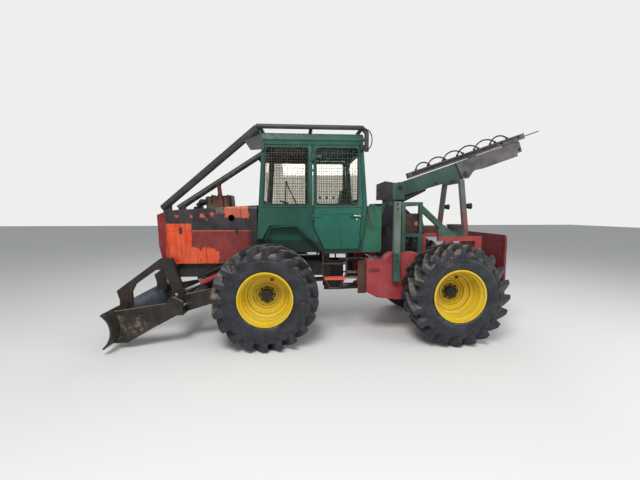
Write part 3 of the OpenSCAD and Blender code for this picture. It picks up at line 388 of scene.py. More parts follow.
net.put(gives, {
    "Color": net.blend(net.math("MULTIPLY", mud_mask, 0.92), given["Color"], mud_shade),
    "Roughness": mud_rough.outputs[0],
    "Height": net.math("MULTIPLY_ADD", net.math("MULTIPLY", mud_mask, mud_noise), 2.2, given["Height"])})
mud_group = net.tree


# %% One material from the groups
def finish(name, paint, faded, under=RUST, patch_scale=3.0, chips=0.4, streaks=0.3, mud=0.3, low=0.3,
           high=1.6, settled=0.5, metallic=0.0, specular=0.3, mud_colour=MUD, bump=0.35, zones=()):
    """Zones are (list of limits for region, paint, faded, chips): where another coat shows."""
    made, net, shader = new_material(name)

    def coat(paint, faded, chips):
        return net.group(coat_group, {"Paint": paint, "Faded": faded, "Under": under,
                                      "Patch Scale": patch_scale, "Chips": chips, "Streaks": streaks})

    skin = coat(paint, faded, chips)
    colour = skin["Color"]
    for limits, *other in zones:
        mask = net.joined("MAXIMUM", [net.region(**each) for each in limits])
        colour = net.blend(mask, colour, coat(*other)["Color"])
    soil = net.group(mud_group, {
        "Color": colour, "Roughness": skin["Roughness"], "Height": skin["Height"], "Mud": mud_colour,
        "Amount": mud, "Low": low, "High": high, "Settled": settled})
    relief = net.put(net.add("Bump"), {"Strength": bump, "Distance": 0.004, "Height": soil["Height"]})
    net.put(shader, {
        "Base Color": soil["Color"], "Roughness": soil["Roughness"], "Normal": relief.outputs["Normal"],
        "Metallic": metallic, "Specular IOR Level": specular})
    return made


# %% Coats of the painted plates
BLACK_WORN = ((0.018, 0.016, 0.018), (0.052, 0.044, 0.047))
BOX_BLACK = ((0.012, 0.012, 0.014), (0.03, 0.03, 0.033))
ORANGE = ((0.66, 0.052, 0.012), (0.62, 0.11, 0.04))
SALMON = ((0.46, 0.10, 0.065), (0.38, 0.06, 0.045))
DARK_RED = ((0.17, 0.014, 0.014), (0.22, 0.03, 0.025))
BLOTCHES = [
    # middle from the front axle and height, half width, half height, in metres
    (1.245, 1.745, 0.030, 0.012), (1.054, 1.735, 0.026, 0.014), (0.900, 1.745, 0.030, 0.024),
    (0.766, 1.765, 0.026, 0.026), (0.840, 1.700, 0.012, 0.016),
]
red_paint = finish("red_paint", (0.30, 0.026, 0.030), (0.36, 0.07, 0.07), chips=0.42, zones=[
    ([dict(x=(-2.03, -1.70), y=(-0.17, 0.17), z=(1.095, None), ragged=0)], *BLACK_WORN, 0.3)])
tail_red = finish("tail_red", (0.125, 0.014, 0.020), (0.19, 0.035, 0.04), (0.04, 0.02, 0.02), streaks=0.85)
bonnet_red = finish(
    "bonnet_red", (0.14, 0.020, 0.019), (0.235, 0.040, 0.034), PRIMER, patch_scale=5, chips=0.6, streaks=0.95,
    mud=0.2, low=0.9, high=1.9, settled=0.3, zones=[
        ([dict(x=(1.055, 1.41), z=(None, 1.66), ragged=0.012)], *ORANGE, 0.8),
        ([dict(x=(0.70, None), z=(None, 1.28), ragged=0.06)], *ORANGE, 0.7),
        ([dict(z=(1.64, None), ragged=0.01), dict(x=(None, 1.05), z=(1.548, None), ragged=0.004),
          dict(x=(None, 0.24), ragged=0.012)], *BLACK_WORN, 0.35),
        # The thin light line along the top edge of the engine's side cover is a painted highlight
        ([dict(x=(0.24, 1.04), z=(1.532, 1.546), ragged=0.002, soft=0.002)], *SALMON, 0.3),
        ([dict(x=(0.27, 0.60), z=(1.715, 1.90), ragged=0.045, scale=12)], (0.56, 0.13, 0.07),
         (0.42, 0.09, 0.06), 0.6),
        ([dict(x=(x - w, x + w), z=(z - h, z + h), scale=30) for x, z, w, h in BLOTCHES], *SALMON, 0.4),
        ([dict(x=(0.60, 0.72), z=(1.775, 1.845), ragged=0.04, scale=22)], (0.20, 0.15, 0.12),
         (0.10, 0.085, 0.08), 0.5),
        ([dict(x=(1.40, None), ragged=0.006)], *DARK_RED, 0.35)])
nose_red = finish("nose_red", *DARK_RED, chips=0.3, mud=0.25, low=0.9, high=1.9)
cab_green = finish(
    "cab_green", (0.009, 0.052, 0.038), (0.019, 0.088, 0.064), (0.012, 0.02, 0.017), patch_scale=1.8,
    chips=0.25, streaks=0.4, low=0.9, high=2.0, settled=0.3, zones=[
        # Below 1.42 m the cab's green is darker: painted shade low on the cab
        ([dict(z=(None, 1.42))], (0.006, 0.022, 0.018), (0.012, 0.04, 0.03), 0.2)])
door_green = finish(
    "door_green", (0.009, 0.080, 0.055), (0.016, 0.125, 0.086), (0.012, 0.02, 0.017), patch_scale=1.8,
    chips=0.25, streaks=0.4, low=1.0, high=2.0, settled=0.3, zones=[
        ([dict(z=(1.83, None), ragged=0.004)], (0.014, 0.062, 0.047), (0.035, 0.11, 0.085), 0.2)])
tank_green = finish("tank_green", (0.012, 0.075, 0.046), (0.028, 0.125, 0.078), PRIMER, chips=0.35,
                    streaks=0.4)
tower_green = finish(
    "tower_green", (0.022, 0.062, 0.046), (0.075, 0.125, 0.095), (0.025, 0.025, 0.02), streaks=0.5, zones=[
        ([dict(y=side, z=(1.235, None), ragged=0.004) for side in ((0.60, None), (None, -0.60))],
         (0.085, 0.12, 0.10), (0.13, 0.17, 0.145), 0.3),
        ([dict(y=(-0.45, 0.45), z=(1.40, 1.86), ragged=0)], (0.022, 0.014, 0.012), (0.13, 0.055, 0.035),
         0.5)])
boom_green = finish("boom_green", (0.018, 0.050, 0.042), (0.042, 0.080, 0.070), (0.02, 0.02, 0.018),
                    chips=0.35, mud=0.15)
rest_grey = finish("rest_grey", (0.06, 0.075, 0.068), (0.12, 0.135, 0.12), streaks=0.4, mud=0.15, zones=[
    ([dict(z=(None, 1.80), ragged=0.04)], (0.13, 0.04, 0.035), (0.16, 0.07, 0.055), 0.4),
    ([dict(x=(None, -2.9365), ragged=0)], (0.01, 0.01, 0.011), (0.02, 0.02, 0.02), 0.1)])
frame_black = finish("frame_black", (0.016, 0.016, 0.017), (0.04, 0.037, 0.033), chips=0.3, streaks=0.4,
                     mud=0.45, low=0.2, high=1.3, settled=0.35)
guard_grey = finish("guard_grey", (0.026, 0.028, 0.031), (0.062, 0.062, 0.062), (0.04, 0.025, 0.02),
                    chips=0.3, streaks=0.2, mud=0.1)
box_tan = finish("box_tan", (0.20, 0.135, 0.07), (0.12, 0.075, 0.045), PRIMER, patch_scale=11, chips=0.5,
                 streaks=0.7, mud=0.2, zones=[
    ([dict(x=(0.925, None), ragged=0.006), dict(x=(None, 0.615), ragged=0.008)], *BOX_BLACK, 0.2),
    ([dict(z=(2.016, 2.09), x=(0.50, 0.96), ragged=0.004)], (0.02, 0.02, 0.025), (0.05, 0.05, 0.055), 0.2),
    ([dict(y=(0.14, None), ragged=0)], (0.20, 0.06, 0.045), (0.15, 0.045, 0.035), 0.5)])
step_orange = finish("step_orange", (0.022, 0.018, 0.016), (0.055, 0.04, 0.034), chips=0.35, zones=[
    ([dict(z=(0.852, 0.897), ragged=0)], (0.70, 0.065, 0.02), (0.66, 0.12, 0.06), 0.3)])
print("coats of the plates are mixed")

# %% Worn steel, rubber and cloth
TAN = (0.20, 0.15, 0.10)
TYRE_DUST = (0.085, 0.075, 0.062)
blade_black = finish("blade_black", (0.016, 0.014, 0.013), (0.036, 0.031, 0.027), patch_scale=5, streaks=0.5,
                     mud=0.70, high=1.3, settled=0.35, mud_colour=TAN)
blade_steel = finish("blade_steel", (0.030, 0.026, 0.022), (0.055, 0.046, 0.038), patch_scale=4, streaks=0.5,
                     mud=0.68, low=0.0, high=1.1, settled=0.3, metallic=0.2, mud_colour=TAN, zones=[
    # The bluish coat over most of the blade is a painted sky reflection
    ([dict(y=(-0.80, 0.50), ragged=0.05)], (0.10, 0.13, 0.18), (0.06, 0.065, 0.08), 0.4)])
jib_steel = finish("jib_steel", (0.042, 0.041, 0.052), (0.125, 0.108, 0.108), (0.05, 0.036, 0.036),
                   patch_scale=7, chips=0.5, streaks=0.75, mud=0.1)
column_black = finish("column_black", (0.012, 0.013, 0.018), (0.035, 0.036, 0.04), chips=0.3, streaks=0.4,
                      mud=0.2,
                      zones=[([dict(x=(-2.20, -1.888), z=(1.99, None), ragged=0)], (0.018, 0.062, 0.048),
                              (0.05, 0.11, 0.088), 0.3)])
drum_steel = finish("drum_steel", (0.34, 0.135, 0.095), (0.46, 0.24, 0.18), chips=0.6)
wire_steel = finish("wire_steel", (0.03, 0.032, 0.03), (0.07, 0.068, 0.06), mud=0.1)
brown_plate = finish("brown_plate", (0.055, 0.022, 0.016), (0.09, 0.045, 0.032), streaks=0.6, mud=0.4)
# The tyre's low and high limits stand the other way round, so that its dust reaches every height
# The tyre's bluish faded colour is a painted sky sheen in patches over the black rubber
tyre_black = finish("tyre_black", (0.0095, 0.010, 0.0125), (0.030, 0.033, 0.042), (0.014, 0.014, 0.016),
                    patch_scale=9, chips=0.15, streaks=0.1, mud=1.02, low=10, high=-10, settled=0.22,
                    specular=0.42, bump=0.5, mud_colour=TYRE_DUST)
chrome = finish("chrome", (0.75, 0.75, 0.77), (0.66, 0.66, 0.66), (0.35, 0.3, 0.26), chips=0.1, streaks=0.25,
                mud=0.1, metallic=1.0, specular=0.5, bump=0.1)
hose_black = finish("hose_black", (0.011, 0.011, 0.012), (0.022, 0.022, 0.022), PRIMER, chips=0.1, mud=0.1)
rubber_black = finish("rubber_black", (0.012, 0.012, 0.012), (0.028, 0.028, 0.027), PRIMER, chips=0.1,
                      mud=0.15)
bolt_black = finish("bolt_black", (0.014, 0.013, 0.012), (0.04, 0.034, 0.028), mud=0.15)
rope_steel = finish("rope_steel", (0.045, 0.032, 0.035), (0.09, 0.066, 0.062), patch_scale=9, chips=0.5,
                    mud=0.2)
seat_cloth = finish("seat_cloth", (0.020, 0.020, 0.023), (0.045, 0.045, 0.048), (0.02, 0.02, 0.02), chips=0.1,
                    mud=0.1)
print("steel, rubber and cloth are mixed")

# %% Yellow rims, with painted shade rings at their steps that follow the wheel's centre
rim_yellow = finish("rim_yellow", (0.66, 0.43, 0.004), (0.62, 0.46, 0.05), patch_scale=5, chips=0.3,
                    streaks=0.2, mud=0.25, low=-0.2, high=0.9)
net = Net(rim_yellow.node_tree)
spot = net.xyz(net.place())
from_middle = net.math("ABSOLUTE", net.math("SUBTRACT", spot["X"], AXLE_X - WHEELBASE / 2))
along = net.math("SUBTRACT", from_middle, WHEELBASE / 2)
up = net.math("SUBTRACT", spot["Z"], WHEEL_R)
radius = net.math("SQRT", net.math("ADD", net.math("MULTIPLY", along, along), net.math("MULTIPLY", up, up)))
# Dark rings at the rim's steps and over its recessed middle disc are painted shade, broken up by noise and
# tinted as grime
step_shade_rings = [net.math("MULTIPLY", net.ramp(radius, 0.150, 0.120), 0.35)]
for ring_r, width, share in ((0.152, 0.007, 0.85), (0.186, 0.004, 0.55), (0.256, 0.005, 0.5),
                             (0.298, 0.004, 0.6)):
    off = net.math("ABSOLUTE", net.math("SUBTRACT", radius, ring_r))
    step_shade_rings.append(net.math("MULTIPLY", net.ramp(off, width, width * 0.4), share))
ring_breakup = net.ramp(net.noise(14, 7, 0.7, shift=6), 0.25, 0.5)
shade_and_grime_mask = net.math("MULTIPLY", net.joined("MAXIMUM", step_shade_rings), ring_breakup)
shader = net.tree.nodes["Principled BSDF"]
before = shader.inputs["Base Color"].links[0].from_socket
net.put(shader, {"Base Color": net.blend(shade_and_grime_mask, before, (0.06, 0.035, 0.012))})


# %% Two kinds of glass
def glass(name):
    made, net, shader = new_material(name)
    haze = net.math("MULTIPLY", net.ramp(net.noise(9, 8, 0.7), 0.4, 0.8), 0.35)
    net.put(shader, {"Base Color": (0.80, 0.78, 0.72), "Transmission Weight": 1.0, "IOR": 1.12,
                     "Roughness": haze})
    return made


window_glass = glass("window_glass")
lamp_glass = glass("lamp_glass")

# %% Every solid gets its finish, and a table lists the slot of each finish
CORNERS = ("front_left", "front_right", "rear_left", "rear_right")
SOLIDS_OF = {
    frame_black: "front_chassis front_axle engine_block cab_controls rear_axle crane_barrel "
                 "steer_barrel_left steer_barrel_right",
    bonnet_red: "bonnet_top bonnet_sides", nose_red: "bonnet_front", box_tan: "engine_pipes",
    cab_green: "cab_lower cab_frame cab_roof", window_glass: "cab_glass door_glass_left door_glass_right",
    wire_steel: "window_guards", seat_cloth: "seat", guard_grey: "roof_guard", step_orange: "steps",
    tank_green: "side_tanks", door_green: "door_left door_right", blade_steel: "blade",
    blade_black: "blade_arms",
    red_paint: "blade_barrels rear_chassis side_boxes", tail_red: "tail_plate", tower_green: "winch_tower",
    chrome: "blade_rods crane_rod steer_rod_left steer_rod_right", rest_grey: "boom_rest",
    drum_steel: "winch_drum", column_black: "crane_column", boom_green: "crane_boom",
    jib_steel: "jib jib_beam",
    hose_black: "beam_hoses", tyre_black: " ".join("tyre_" + corner for corner in CORNERS),
    rim_yellow: " ".join("rim_" + corner for corner in CORNERS),
}
SLOT_OF = {
    frame_black: "dark_frame_paint", bolt_black: "dark_frame_paint", rest_grey: "dark_frame_paint",
    bonnet_red: "weathered_red_paint", brown_plate: "weathered_red_paint", cab_green: "dark_green_paint",
    door_green: "dark_green_paint", blade_steel: "olive_steel", wire_steel: "bare_steel",
    rope_steel: "bare_steel", chrome: "chrome_rod", rubber_black: "hose_rubber", hose_black: "hose_rubber",
    tyre_black: "tyre_rubber", lamp_glass: "window_glass", seat_cloth: "seat_cover",
}
for material, names in SOLIDS_OF.items():
    for name in names.split():
        nodes[name].data.materials.clear()
        nodes[name].data.materials.append(material)
print("finishes on", sum(len(names.split()) for names in SOLIDS_OF.values()), "of", len(nodes), "solids")

# %% [markdown]
# ## Modelling helpers
# New pieces are modelled as by hand: add a primitive, go to edit mode, pick faces or edges by where
# they are, then extrude, inset, bevel or spin them. These few helpers keep that short. A finished
# piece has its place in its mesh and its object at the origin, as the solids have.

# %% Helpers for modelling
FLIP = Matrix.Scale(-1, 4, (0, 1, 0))


def only(*pieces):
    """Selects these pieces and nothing else. The first is the active one."""
    for each in list(bpy.context.selected_objects):
        each.select_set(False)
    for each in pieces:
        each.select_set(True)
    if pieces:
        bpy.context.view_layer.objects.active = pieces[0]


def begin(name, kind, **settings):
    only()
    getattr(bpy.ops.mesh, "primitive_" + kind + "_add")(**settings)
    made = bpy.context.object
    made.name = name
    bpy.ops.object.transform_apply(location=True, rotation=True, scale=True)
    return made


def edit(piece, what, chosen, deed):
    """Selects the faces, edges or verts for which chosen is true, and does the deed in edit mode."""
    only(piece)
    bpy.ops.object.mode_set(mode="EDIT")
    bpy.ops.mesh.select_mode(type={"faces": "FACE", "edges": "EDGE", "verts": "VERT"}[what])
    bpy.ops.mesh.select_all(action="DESELECT")
    mesh = bmesh.from_edit_mesh(piece.data)
    for element in getattr(mesh, what):
        if chosen(element):
            element.select_set(True)
    mesh.select_flush_mode()
    bmesh.update_edit_mesh(piece.data)
    deed()
    bpy.ops.object.mode_set(mode="OBJECT")


def everything(element):
    return True


def copy_of(piece, name, matrix):
    made = piece.copy()
    made.data = piece.data.copy()
    made.name = name
    made.data.transform(matrix)
    if matrix.is_negative:
        made.data.flip_normals()
    bpy.context.scene.collection.objects.link(made)
    return made


def merged(name, pieces):
    only(*pieces)
    if len(pieces) > 1:
        bpy.ops.object.join()
    pieces[0].name = name
    return pieces[0]


def repeat(name, model, matrices):
    """One piece made of copies of a small model, each copy with its own place. The model goes."""
    copies = [copy_of(model, name + "_part", m) for m in matrices]
    bpy.data.objects.remove(model)
    return merged(name, copies)


def smooth(piece, angle=35):
    only(piece)
    bpy.ops.object.shade_smooth_by_angle(angle=math.radians(angle))


def bevel(piece, offset, segments=2, chosen=None):
    """Bevels the chosen edges, or all of them, by an offset in metres."""
    edit(piece, "edges", chosen or everything,
         lambda: bpy.ops.mesh.bevel(offset=offset, segments=segments, affect="EDGES"))


def clean(piece, threshold):
    """Joins points that lie together, and turns every face to look outward."""
    edit(piece, "verts", everything, lambda: (
        bpy.ops.mesh.remove_doubles(threshold=threshold), bpy.ops.mesh.normals_make_consistent(inside=False)))


def dress(piece, material, body, slot=None):
    """Gives a piece its finish and its body, and looks up its slot, the finish's own unless one is named,
    without keeping it.
    """
    piece.data.materials.clear()
    piece.data.materials.append(material)
    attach(piece, body)
    slot or SLOT_OF[material]
    return piece


def fit(name, pieces, material, body, slot=None, angle=35):
    """Joins pieces into one named piece and dresses it."""
    made = merged(name, pieces)
    smooth(made, angle)
    return dress(made, material, body, slot)


def both_sides(pieces):
    """Adds the mirrored copies of pieces on the machine's other side."""
    return pieces + [copy_of(each, each.name, FLIP) for each in pieces]


def around(radius, degrees):
    """Steps along and up from the middle of a circle to its points at these angles."""
    return [(radius * math.cos(math.radians(d)), radius * math.sin(math.radians(d))) for d in degrees]


# %% [markdown]
# ## Tyres
# A forestry tyre is a fat ring with deep V-shaped lugs. The ring is a profile that is spun round
# the wheel's axis. A lug is one bar that starts near the middle of the tread, sweeps back and runs
# over the shoulder onto the side wall. It is extruded station by station, bevelled once, and then
# copied round the ring in two staggered rows.

# %% Tyre carcass
LUGS = 20
LUG_SWEEP = math.radians(17)
TREAD_R = 0.612
CARCASS = [
    (0.350, 0.1826), (0.363, 0.1826), (0.372, 0.188), (0.380, 0.196), (0.392, 0.198), (0.400, 0.203),
    (0.430, 0.211), (0.470, 0.2135), (0.500, 0.2125), (0.506, 0.2095), (0.512, 0.2115), (0.540, 0.207),
    (0.562, 0.197), (0.578, 0.181), (0.591, 0.157), (0.601, 0.121), (0.608, 0.070), (TREAD_R, 0.0),
]


def spun(name, profile, steps):
    """A ring round the Y axis from a profile of (radius, place along the axis)."""
    made = begin(name, "plane", size=0.01)
    mesh = bmesh.new()
    verts = [mesh.verts.new((0.0, y, r)) for r, y in profile]
    for a, b in zip(verts, verts[1:]):
        mesh.edges.new((a, b))
    mesh.to_mesh(made.data)
    mesh.free()
    edit(made, "verts", everything, lambda: bpy.ops.mesh.spin(
        steps=steps, angle=2 * math.pi, center=(0, 0, 0), axis=(0, 1, 0)))
    clean(made, 0.00005)
    return made


ring = CARCASS + [(r, -y) for r, y in reversed(CARCASS[:-1])]
carcass = spun("carcass", ring + [ring[0]], 120)

# %% One lug
LUG_STATIONS = [
    # place along the axle, share of the sweep, base radius, top radius, half width at the top, at the base
    (0.008, 0.00, 0.605, 0.6898, 0.0205, 0.033),
    (0.060, 0.24, 0.603, 0.6885, 0.0210, 0.035),
    (0.120, 0.54, 0.594, 0.6865, 0.0220, 0.037),
    (0.170, 0.80, 0.574, 0.6835, 0.0235, 0.038),
    (0.202, 0.97, 0.545, 0.6770, 0.0245, 0.038),
    (0.2168, 1.06, 0.532, 0.6640, 0.0245, 0.037),
]
last = len(LUG_STATIONS) - 1
lug = begin("lug", "cube", size=1, location=(0, 0.5, 0.5))
for cut in range(1, last):
    edit(lug, "faces", everything, lambda: bpy.ops.mesh.bisect(
        plane_co=(0, cut / last, 0), plane_no=(0, 1, 0)))
top_verts = {v.index for v in lug.data.vertices if v.co.z > 0.5}
for v in lug.data.vertices:
    y, share, base, top, top_w, base_w = LUG_STATIONS[round(v.co.y * last)]
    radius, half_w = (top, top_w) if v.co.z > 0.5 else (base, base_w)
    turn = share * LUG_SWEEP + math.copysign(half_w, v.co.x) / radius
    v.co = (radius * math.sin(turn), y, radius * math.cos(turn))


def is_rim_of_top(edge):
    inside = all(v.index in top_verts for v in edge.verts)
    return inside and any(not set(v.index for v in f.verts) <= top_verts for f in edge.link_faces)


bevel(lug, 0.006, chosen=is_rim_of_top)
print("lug faces", len(lug.data.polygons))

# %% Lugs round the carcass, and the four tyres
places = []
for step in range(LUGS):
    places.append(Matrix.Rotation(-step * 2 * math.pi / LUGS, 4, "Y"))
    places.append(Matrix.Rotation(-(step + 0.5) * 2 * math.pi / LUGS, 4, "Y") @ FLIP)
lugs = repeat("lugs", lug, places)
tyre_model = merged("tyre_model", [carcass, lugs])
smooth(tyre_model, 32)
WHEELS = list(zip(CORNERS, ((0, 1), (0, -1), (-WHEELBASE, 1), (-WHEELBASE, -1))))
for corner, (back, side) in WHEELS:
    place = Matrix.Translation((AXLE_X + back, side * WHEEL_Y, WHEEL_R)) @ Matrix.Scale(side, 4, (0, 1, 0))
    tyre = copy_of(tyre_model, "forest_tyre_" + corner, place)
    dress(tyre, tyre_black, "wheel_" + corner)
    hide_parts("tyre_" + corner)
bpy.data.objects.remove(tyre_model)

# %% [markdown]
# ## Small helpers for bars, blocks and bent tubes
# Most of the missing detail is bent bar, flat stock and bolts. A block is a cube whose edges are
# bevelled, a rod is a cylinder with bevelled ends, and a tube is a curve with a round section that is
# made a mesh. All take the machine's own millimetres from the front axle.

# %% Blocks, rods, tubes and nuts
def block(low, high, rounded=2.0):
    """A bevelled block between two corners."""
    a, b = at(*low), at(*high)
    made = begin("block", "cube", size=1, location=(a + b) / 2, scale=tuple(abs(v) for v in b - a))
    bevel(made, rounded / 1000)
    return made


def rod(start, end, radius, sides=20, rounded=1.5, end_radius=None):
    """A bar from one place to another, with bevelled end rims."""
    a, b = at(*start), at(*end)
    turn = (b - a).to_track_quat("Z", "Y").to_euler()
    settings = {"vertices": sides, "depth": (b - a).length, "location": (a + b) / 2, "rotation": turn}
    if end_radius is None:
        made = begin("rod", "cylinder", radius=radius / 1000, **settings)
    else:
        made = begin("rod", "cone", radius1=radius / 1000, radius2=end_radius / 1000, **settings)
    bevel(made, rounded / 1000, chosen=lambda e: any(len(f.verts) > 4 for f in e.link_faces) or sides < 7)
    return made


def tube(places, radius, closed=True):
    """A round bar of a radius in mm through places in metres, as a mesh."""
    made = round_curve("tube", places, radius / 1000, closed, fine=2)
    only(made)
    bpy.ops.object.convert(target="MESH")
    clean(made, 0.00002)
    return made


def nut(place, way, radius=12, height=10, stud=6):
    """A hexagon nut on a flat face, with the end of its bolt standing out of it."""
    way = Vector(way)
    start = Vector(place)
    return [rod(start, start + way * height, radius, 6, 1.0),
            rod(start + way * height, start + way * (height + stud), radius * 0.5, 10, 0.8)]


def ring_of(places, way, **sizes):
    return [piece for place in places for piece in nut(place, way, **sizes)]


def rounded_outline(corners, radius, place, steps=5):
    """The points of a closed outline with rounded corners. Place turns a point of it into metres."""
    outline = []
    for i, corner in enumerate(corners):
        here, before, after = (Vector(corners[k % len(corners)]) for k in (i, i - 1, i + 1))
        a = here + (before - here).normalized() * radius
        b = here + (after - here).normalized() * radius
        for k in range(steps + 1):
            t = k / steps
            spot = a * (1 - t) ** 2 + here * 2 * t * (1 - t) + b * t ** 2
            outline.append(place(*spot))
    return outline


# %% [markdown]
# ## Hubs, wheel nuts and valves
# The wheel disc lies deep in the rim. Eight nuts hold it round a black hub with a stepped cap, and
# the tyre's valve sits behind a small rusty guard near the rim's edge.

# %% One wheel centre, copied to four
HUB_FACE_Y = 742
HUB_Z = WHEEL_R * 1000
VALVE_TURN = 109
hub = []
for inner, outer, radius, sides, rounded in ((-6, 40, 80, 40, 5), (40, 58, 70, 40, 6), (58, 70, 24, 6, 2)):
    hub.append(rod((0, HUB_FACE_Y + inner, HUB_Z), (0, HUB_FACE_Y + outer, HUB_Z), radius, sides, rounded))
for along, up in around(101.5, range(0, 360, 45)):
    spot = (along, HUB_FACE_Y, HUB_Z + up)
    hub += nut(spot, (0, 1, 0), radius=12.5, height=14, stud=12)
    hub.append(rod(spot, (along, HUB_FACE_Y + 4, HUB_Z + up), 16, 20, 1))
(x, up), = around(222, [VALVE_TURN])
z = HUB_Z + up
valve = [block((x - 24, 772, z - 20), (x + 24, 782, z + 22), 3),
         rod((x, 780, z), (x + 6, 812, z - 4), 7, 12, 1),
         rod((x + 6, 812, z - 4), (x + 7, 824, z - 5), 9, 12, 2)]
for pieces, name, used in ((hub, "wheel_hub_", bolt_black), (valve, "valve_guard_", brown_plate)):
    model = merged(name, pieces)
    for corner, (back, side) in WHEELS:
        place = Matrix.Translation((back, 0, 0)) @ Matrix.Scale(side, 4, (0, 1, 0))
        fit(name + corner, [copy_of(model, name, place)], used, "wheel_" + corner)
    bpy.data.objects.remove(model)
print("hubs and valves on 4 wheels")

# %% [markdown]
# ## Windows, seals and wire guards
# Every pane sits in a black rubber bead. The steel mesh in front of the side windows and doors is
# finer than the solid model draws it: extra wires run between its bars.

# %% Window seals
SEAL_R = 8
SIDE_Y = 702
PANE_FOOT = 1900
PANE_RISE = 836


def on_side(x, z):
    return at(x, SIDE_Y, z)


def on_front(y, z):
    return at(106 - (z - PANE_FOOT) * 58 / PANE_RISE, y, z)


def on_rear(y, z):
    return at(-1368 + (z - PANE_FOOT) * 65 / PANE_RISE, y, z)


def seal(corners, rounding, place, radius=SEAL_R):
    return tube(rounded_outline(corners, rounding, place), radius)


seals = both_sides([seal([(-556, 1905), (36, 1905), (-6, 2650), (-556, 2650)], 30, on_side)])
seals.append(seal([(-590, 1960), (590, 1960), (590, 2650), (-590, 2650)], 50, on_front))
seals.append(seal([(-560, 1990), (560, 1990), (560, 2620), (-560, 2620)], 50, on_rear))
fit("window_seals", seals, rubber_black, "front_frame")
door_seal = seal([(-1232, 1905), (-668, 1905), (-668, 2650), (-1232, 2650)], 45, on_side, 10)
door_edge = tube([on_side(x, z) for x, z in ((-640, 2676), (-640, 1606), (-782, 1296), (-1228, 1296))], 4,
                 closed=False)

# %% Wires between the bars of the mesh
WIRE_R = 2.2
MESH_Z = (1906, 2649)


def middles(low, high, count):
    return [low + (k + 0.5) * (high - low) / count for k in range(count)]


def wires(x0, x1):
    """Eight upright wires and eleven lying ones, between the solid model's own bars."""
    made = [rod((x, 696, MESH_Z[0]), (x, 696, MESH_Z[1]), WIRE_R, 6, 0.3) for x in middles(x0, x1, 8)]
    return made + [rod((x0, 698, z), (x1, 698, z), WIRE_R, 6, 0.3) for z in middles(*MESH_Z, 11)]


fit("guard_wires", both_sides(wires(-555, -9)), wire_steel, "front_frame")

# %% Door furniture: mouldings, handle, lock and hinge straps
trim = [rod((-660, 701, 1868), (-1292, 701, 1868), 7, 10, 2),
        rod((-660, 701, 1776), (-1180, 701, 1776), 6, 10, 2),
        block((-1262, 699, 1330), (-1240, 703, 1780), 1)]
for z in (1732, 2522):
    trim.append(block((-735, 699, z), (-650, 704, z + 36), 1.5))
    trim += ring_of([(x, 704, z + 18) for x in (-725, -685)], (0, 1, 0), radius=7, height=4, stud=2)
handle = [rod((-1186, 706, 1752), (-1186, 728, 1752), 7), rod((-1262, 706, 1745), (-1262, 728, 1745), 7),
          rod((-1180, 728, 1753), (-1272, 728, 1744), 8, 16, 4),
          rod((-1222, 700, 1700), (-1222, 708, 1700), 12, 20, 2)]
for name, pieces, used in (
        ("door_seal", [door_seal, door_edge], rubber_black), ("door_wires", wires(-1231, -669), wire_steel),
        ("door_trim", trim, door_green), ("door_handle", handle, chrome)):
    left = merged(name, pieces)
    fit(name + "_right", [copy_of(left, name, FLIP)], used, "right_door")
    fit(name + "_left", [left], used, "left_door")
print("doors fitted out")

# %% Cab trim: rain gutter, arch edge and lower seam
arch = [on_side(x, z) for x, z in ((20, 1420), (-60, 1596), (-385, 1611), (-812, 1200))]
cab_trim = both_sides([
    rod((60, SIDE_Y, 1868), (-560, SIDE_Y, 1868), 6, 10, 2), tube(arch, 7, closed=False),
    rod((40, 704, 2690), (-1290, 704, 2690), 6, 10, 2),
    block((-597, 698, 1640), (-571, 704, 2690), 1.5)])
fit("cab_trim", cab_trim, cab_green, "front_frame")

# %% Control levers behind the windscreen, as they show through the side window
levers = [rod((x, 190, 1780), (-250, 200, 2235), 9, 12, 2) for x in (-217, -465)]
levers.append(rod((-250, 170, 2238), (-250, 230, 2238), 16, 16, 5))
levers += [rod((x, 370, 1990), (x, 370, 2030), 17, 16, 7, end_radius=12) for x in (-940, -840, -740, -670)]
fit("control_levers", levers, rubber_black, "front_frame", "dark_frame_paint")

# %% [markdown]
# ## Bonnet, exhaust and air box
# The bonnet is thin sheet held by bolts and rubber latches, with a round lip along its upright edges.
# On top stand the exhaust with its rain flap and a battered air box held by straps.

# %% Bonnet fittings
BONNET_Y = 491
EXHAUST_Y = 190
bonnet_parts = []
for x in (300, 620, 940, 1260):
    bonnet_parts += ring_of([(x, BONNET_Y, z) for z in (1130, 1610)], (0, 1, 0), radius=9, height=5, stud=3)
for x in (420, 1180):
    bonnet_parts.append(block((x, 490, 1500), (x + 34, 500, 1590), 4))
    bonnet_parts.append(rod((x + 17, 498, 1575), (x + 17, 510, 1575), 12, 16, 3))
fit("bonnet_bolts", both_sides(bonnet_parts), bolt_black, "front_frame")
lips = [rod((1392, BONNET_Y + 1, 1120), (1392, BONNET_Y + 1, 1640), 5, 8, 1),
        rod((262, BONNET_Y, 1110), (262, BONNET_Y, 1850), 5, 8, 1)]
fit("bonnet_edges", both_sides(lips), bonnet_red, "front_frame")

# %% Exhaust flap and air-box straps
flap = []
for (x0, z0), (x1, z1), radius, sides, rounded in (
        ((737, 2186), (738, 2206), 35, 24, 3), ((724, 2040), (726, 2062), 36, 24, 3),
        ((700, 2212), (770, 2226), 7, 10, 2), ((738, 2208), (741, 2214), 37, 24, 2)):
    flap.append(rod((x0, EXHAUST_Y, z0), (x1, EXHAUST_Y, z1), radius, sides, rounded))
fit("exhaust_flap", flap, brown_plate, "front_frame")
straps = []
for x in (620, 850):
    straps.append(block((x, -124, 1925), (x + 18, 124, 2056), 2))
    straps += ring_of([(x + 9, y, 2056) for y in (-80, 80)], (0, 0, 1), radius=9, height=5, stud=4)
fit("air_box_straps", straps, bolt_black, "front_frame")

# %% [markdown]
# ## Blade and lift gear
# The blade's lower edge is a separate cutting plate that is bolted on, and a cap closes the pin of each
# arm. A thick guard tube lies over each lift cylinder, inside the bonnet's side, and swings with it.

